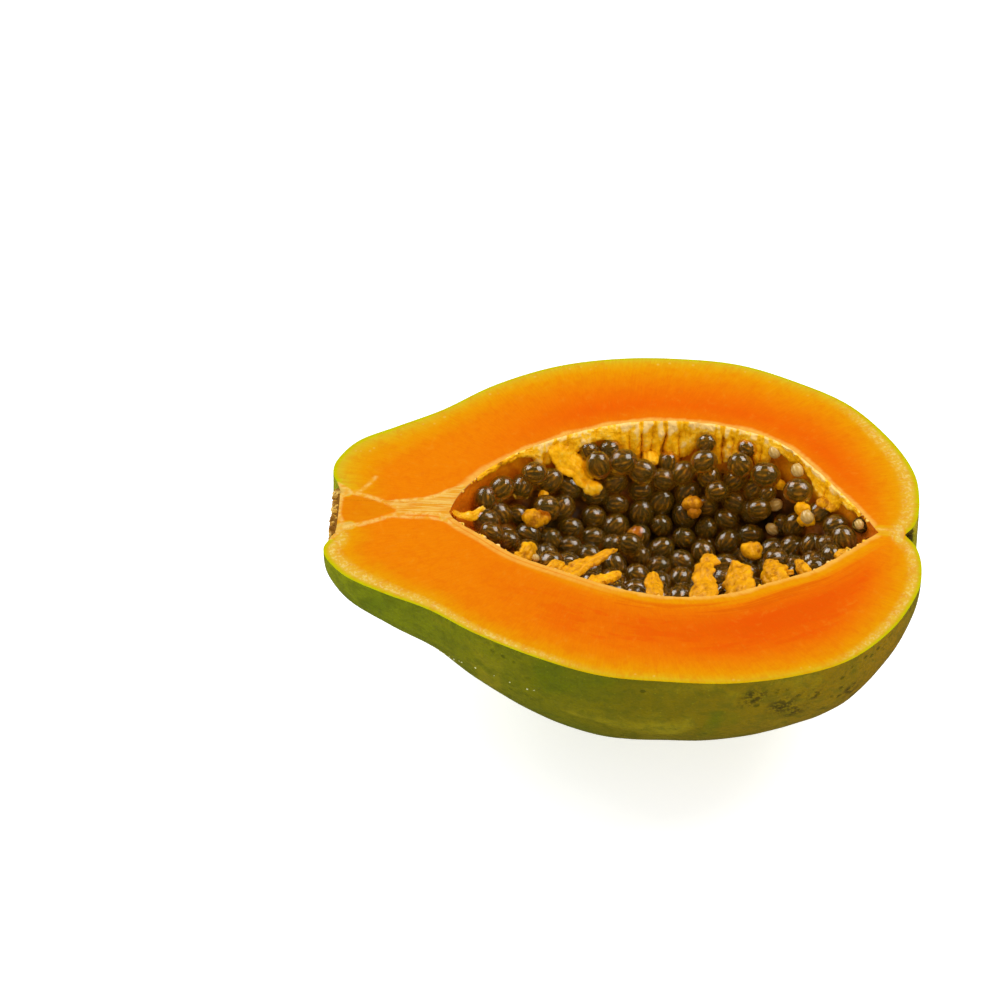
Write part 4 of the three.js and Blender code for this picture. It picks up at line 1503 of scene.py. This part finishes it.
def sap_drops():
    """Tiny dried drops of milky sap on the skin below the near edge."""
    blank = ball("drop_blank", 3)
    drops = []
    for index, (station, degrees) in enumerate(SAP_DROPS):
        centre = fruit_skin_at(station, math.radians(degrees))
        size = 0.17 + 0.05 * (index % 3)
        drop = copied(blank, "drop")
        for vertex in drop.data.vertices:
            vertex.co = centre + vertex.co * size * (1 + 0.2 * lumps(vertex.co, 1.0, index))
        drops.append(drop)
    put_away(blank)
    return finished(joined("sap_drops", drops), "fruit_half", "flesh", latex_finish())


# ---- Floor, light and camera ----
def studio():
    deselect_all()
    bpy.ops.mesh.primitive_plane_add(size=6)
    floor = started("floor")
    floor.data.materials.append(floor_finish())
    floor.visible_glossy = False
    studio_air()
    softbox("left_softbox", (-0.62, 0.42, 0.62), 0.60, 0.52, 5.0)
    softbox("right_softbox", (0.52, 0.30, 0.80), 0.60, 0.52, 5.0)
    softbox("overhead_sheet", (0.0, -0.15, 1.0), 1.3, 1.3, 0.5).visible_glossy = False
    softbox("front_fill", (0.05, -0.90, 0.42), 1.0, 0.5, 3.5).visible_glossy = False


def studio_air():
    """Even white light from all round, which wet surfaces hardly mirror."""
    world = bpy.data.worlds.new("studio_air")
    world.use_nodes = True
    air = Nodes(world.node_tree)
    background = world.node_tree.nodes["Background"]
    background.inputs["Color"].default_value = (1, 1, 1, 1)
    air.plug(background.inputs["Strength"], air.add("LightPath", "Is Glossy Ray") * -0.28 + 0.33)
    bpy.context.scene.world = world


def softbox(name, direction, wide, high, power, away=0.9):
    light = bpy.data.lights.new(name, "AREA")
    light.shape = "RECTANGLE"
    light.size, light.size_y = wide, high
    light.energy = power
    lamp = bpy.data.objects.new(name, light)
    bpy.context.collection.objects.link(lamp)
    aim = Vector(direction).normalized()
    lamp.location = Vector((0, 0, 0.04)) + aim * away
    lamp.rotation_euler = aim.to_track_quat("Z", "Y").to_euler()
    return lamp


def camera():
    azimuth, elevation, away = math.radians(3.3), math.radians(47.0), 1.2
    target = Vector((-0.0314, -0.0006, 0.0598))
    back = Vector((
        math.sin(azimuth) * math.cos(elevation),
        -math.cos(azimuth) * math.cos(elevation),
        math.sin(elevation),
    ))
    lens = bpy.data.cameras.new("studio_camera")
    lens.lens = 171.6
    lens.sensor_width = 36
    lens.clip_end = 20
    eye = bpy.data.objects.new("studio_camera", lens)
    bpy.context.collection.objects.link(eye)
    eye.location = target + back * away
    eye.rotation_euler = back.to_track_quat("Z", "Y").to_euler()
    bpy.context.scene.camera = eye


bpy.context.scene.view_settings.view_transform = "Standard"
camera()
studio()
papaya_half()
torn_tissue()
seed_bed()
seeds_and_gel()
stem_scar()
sap_drops()
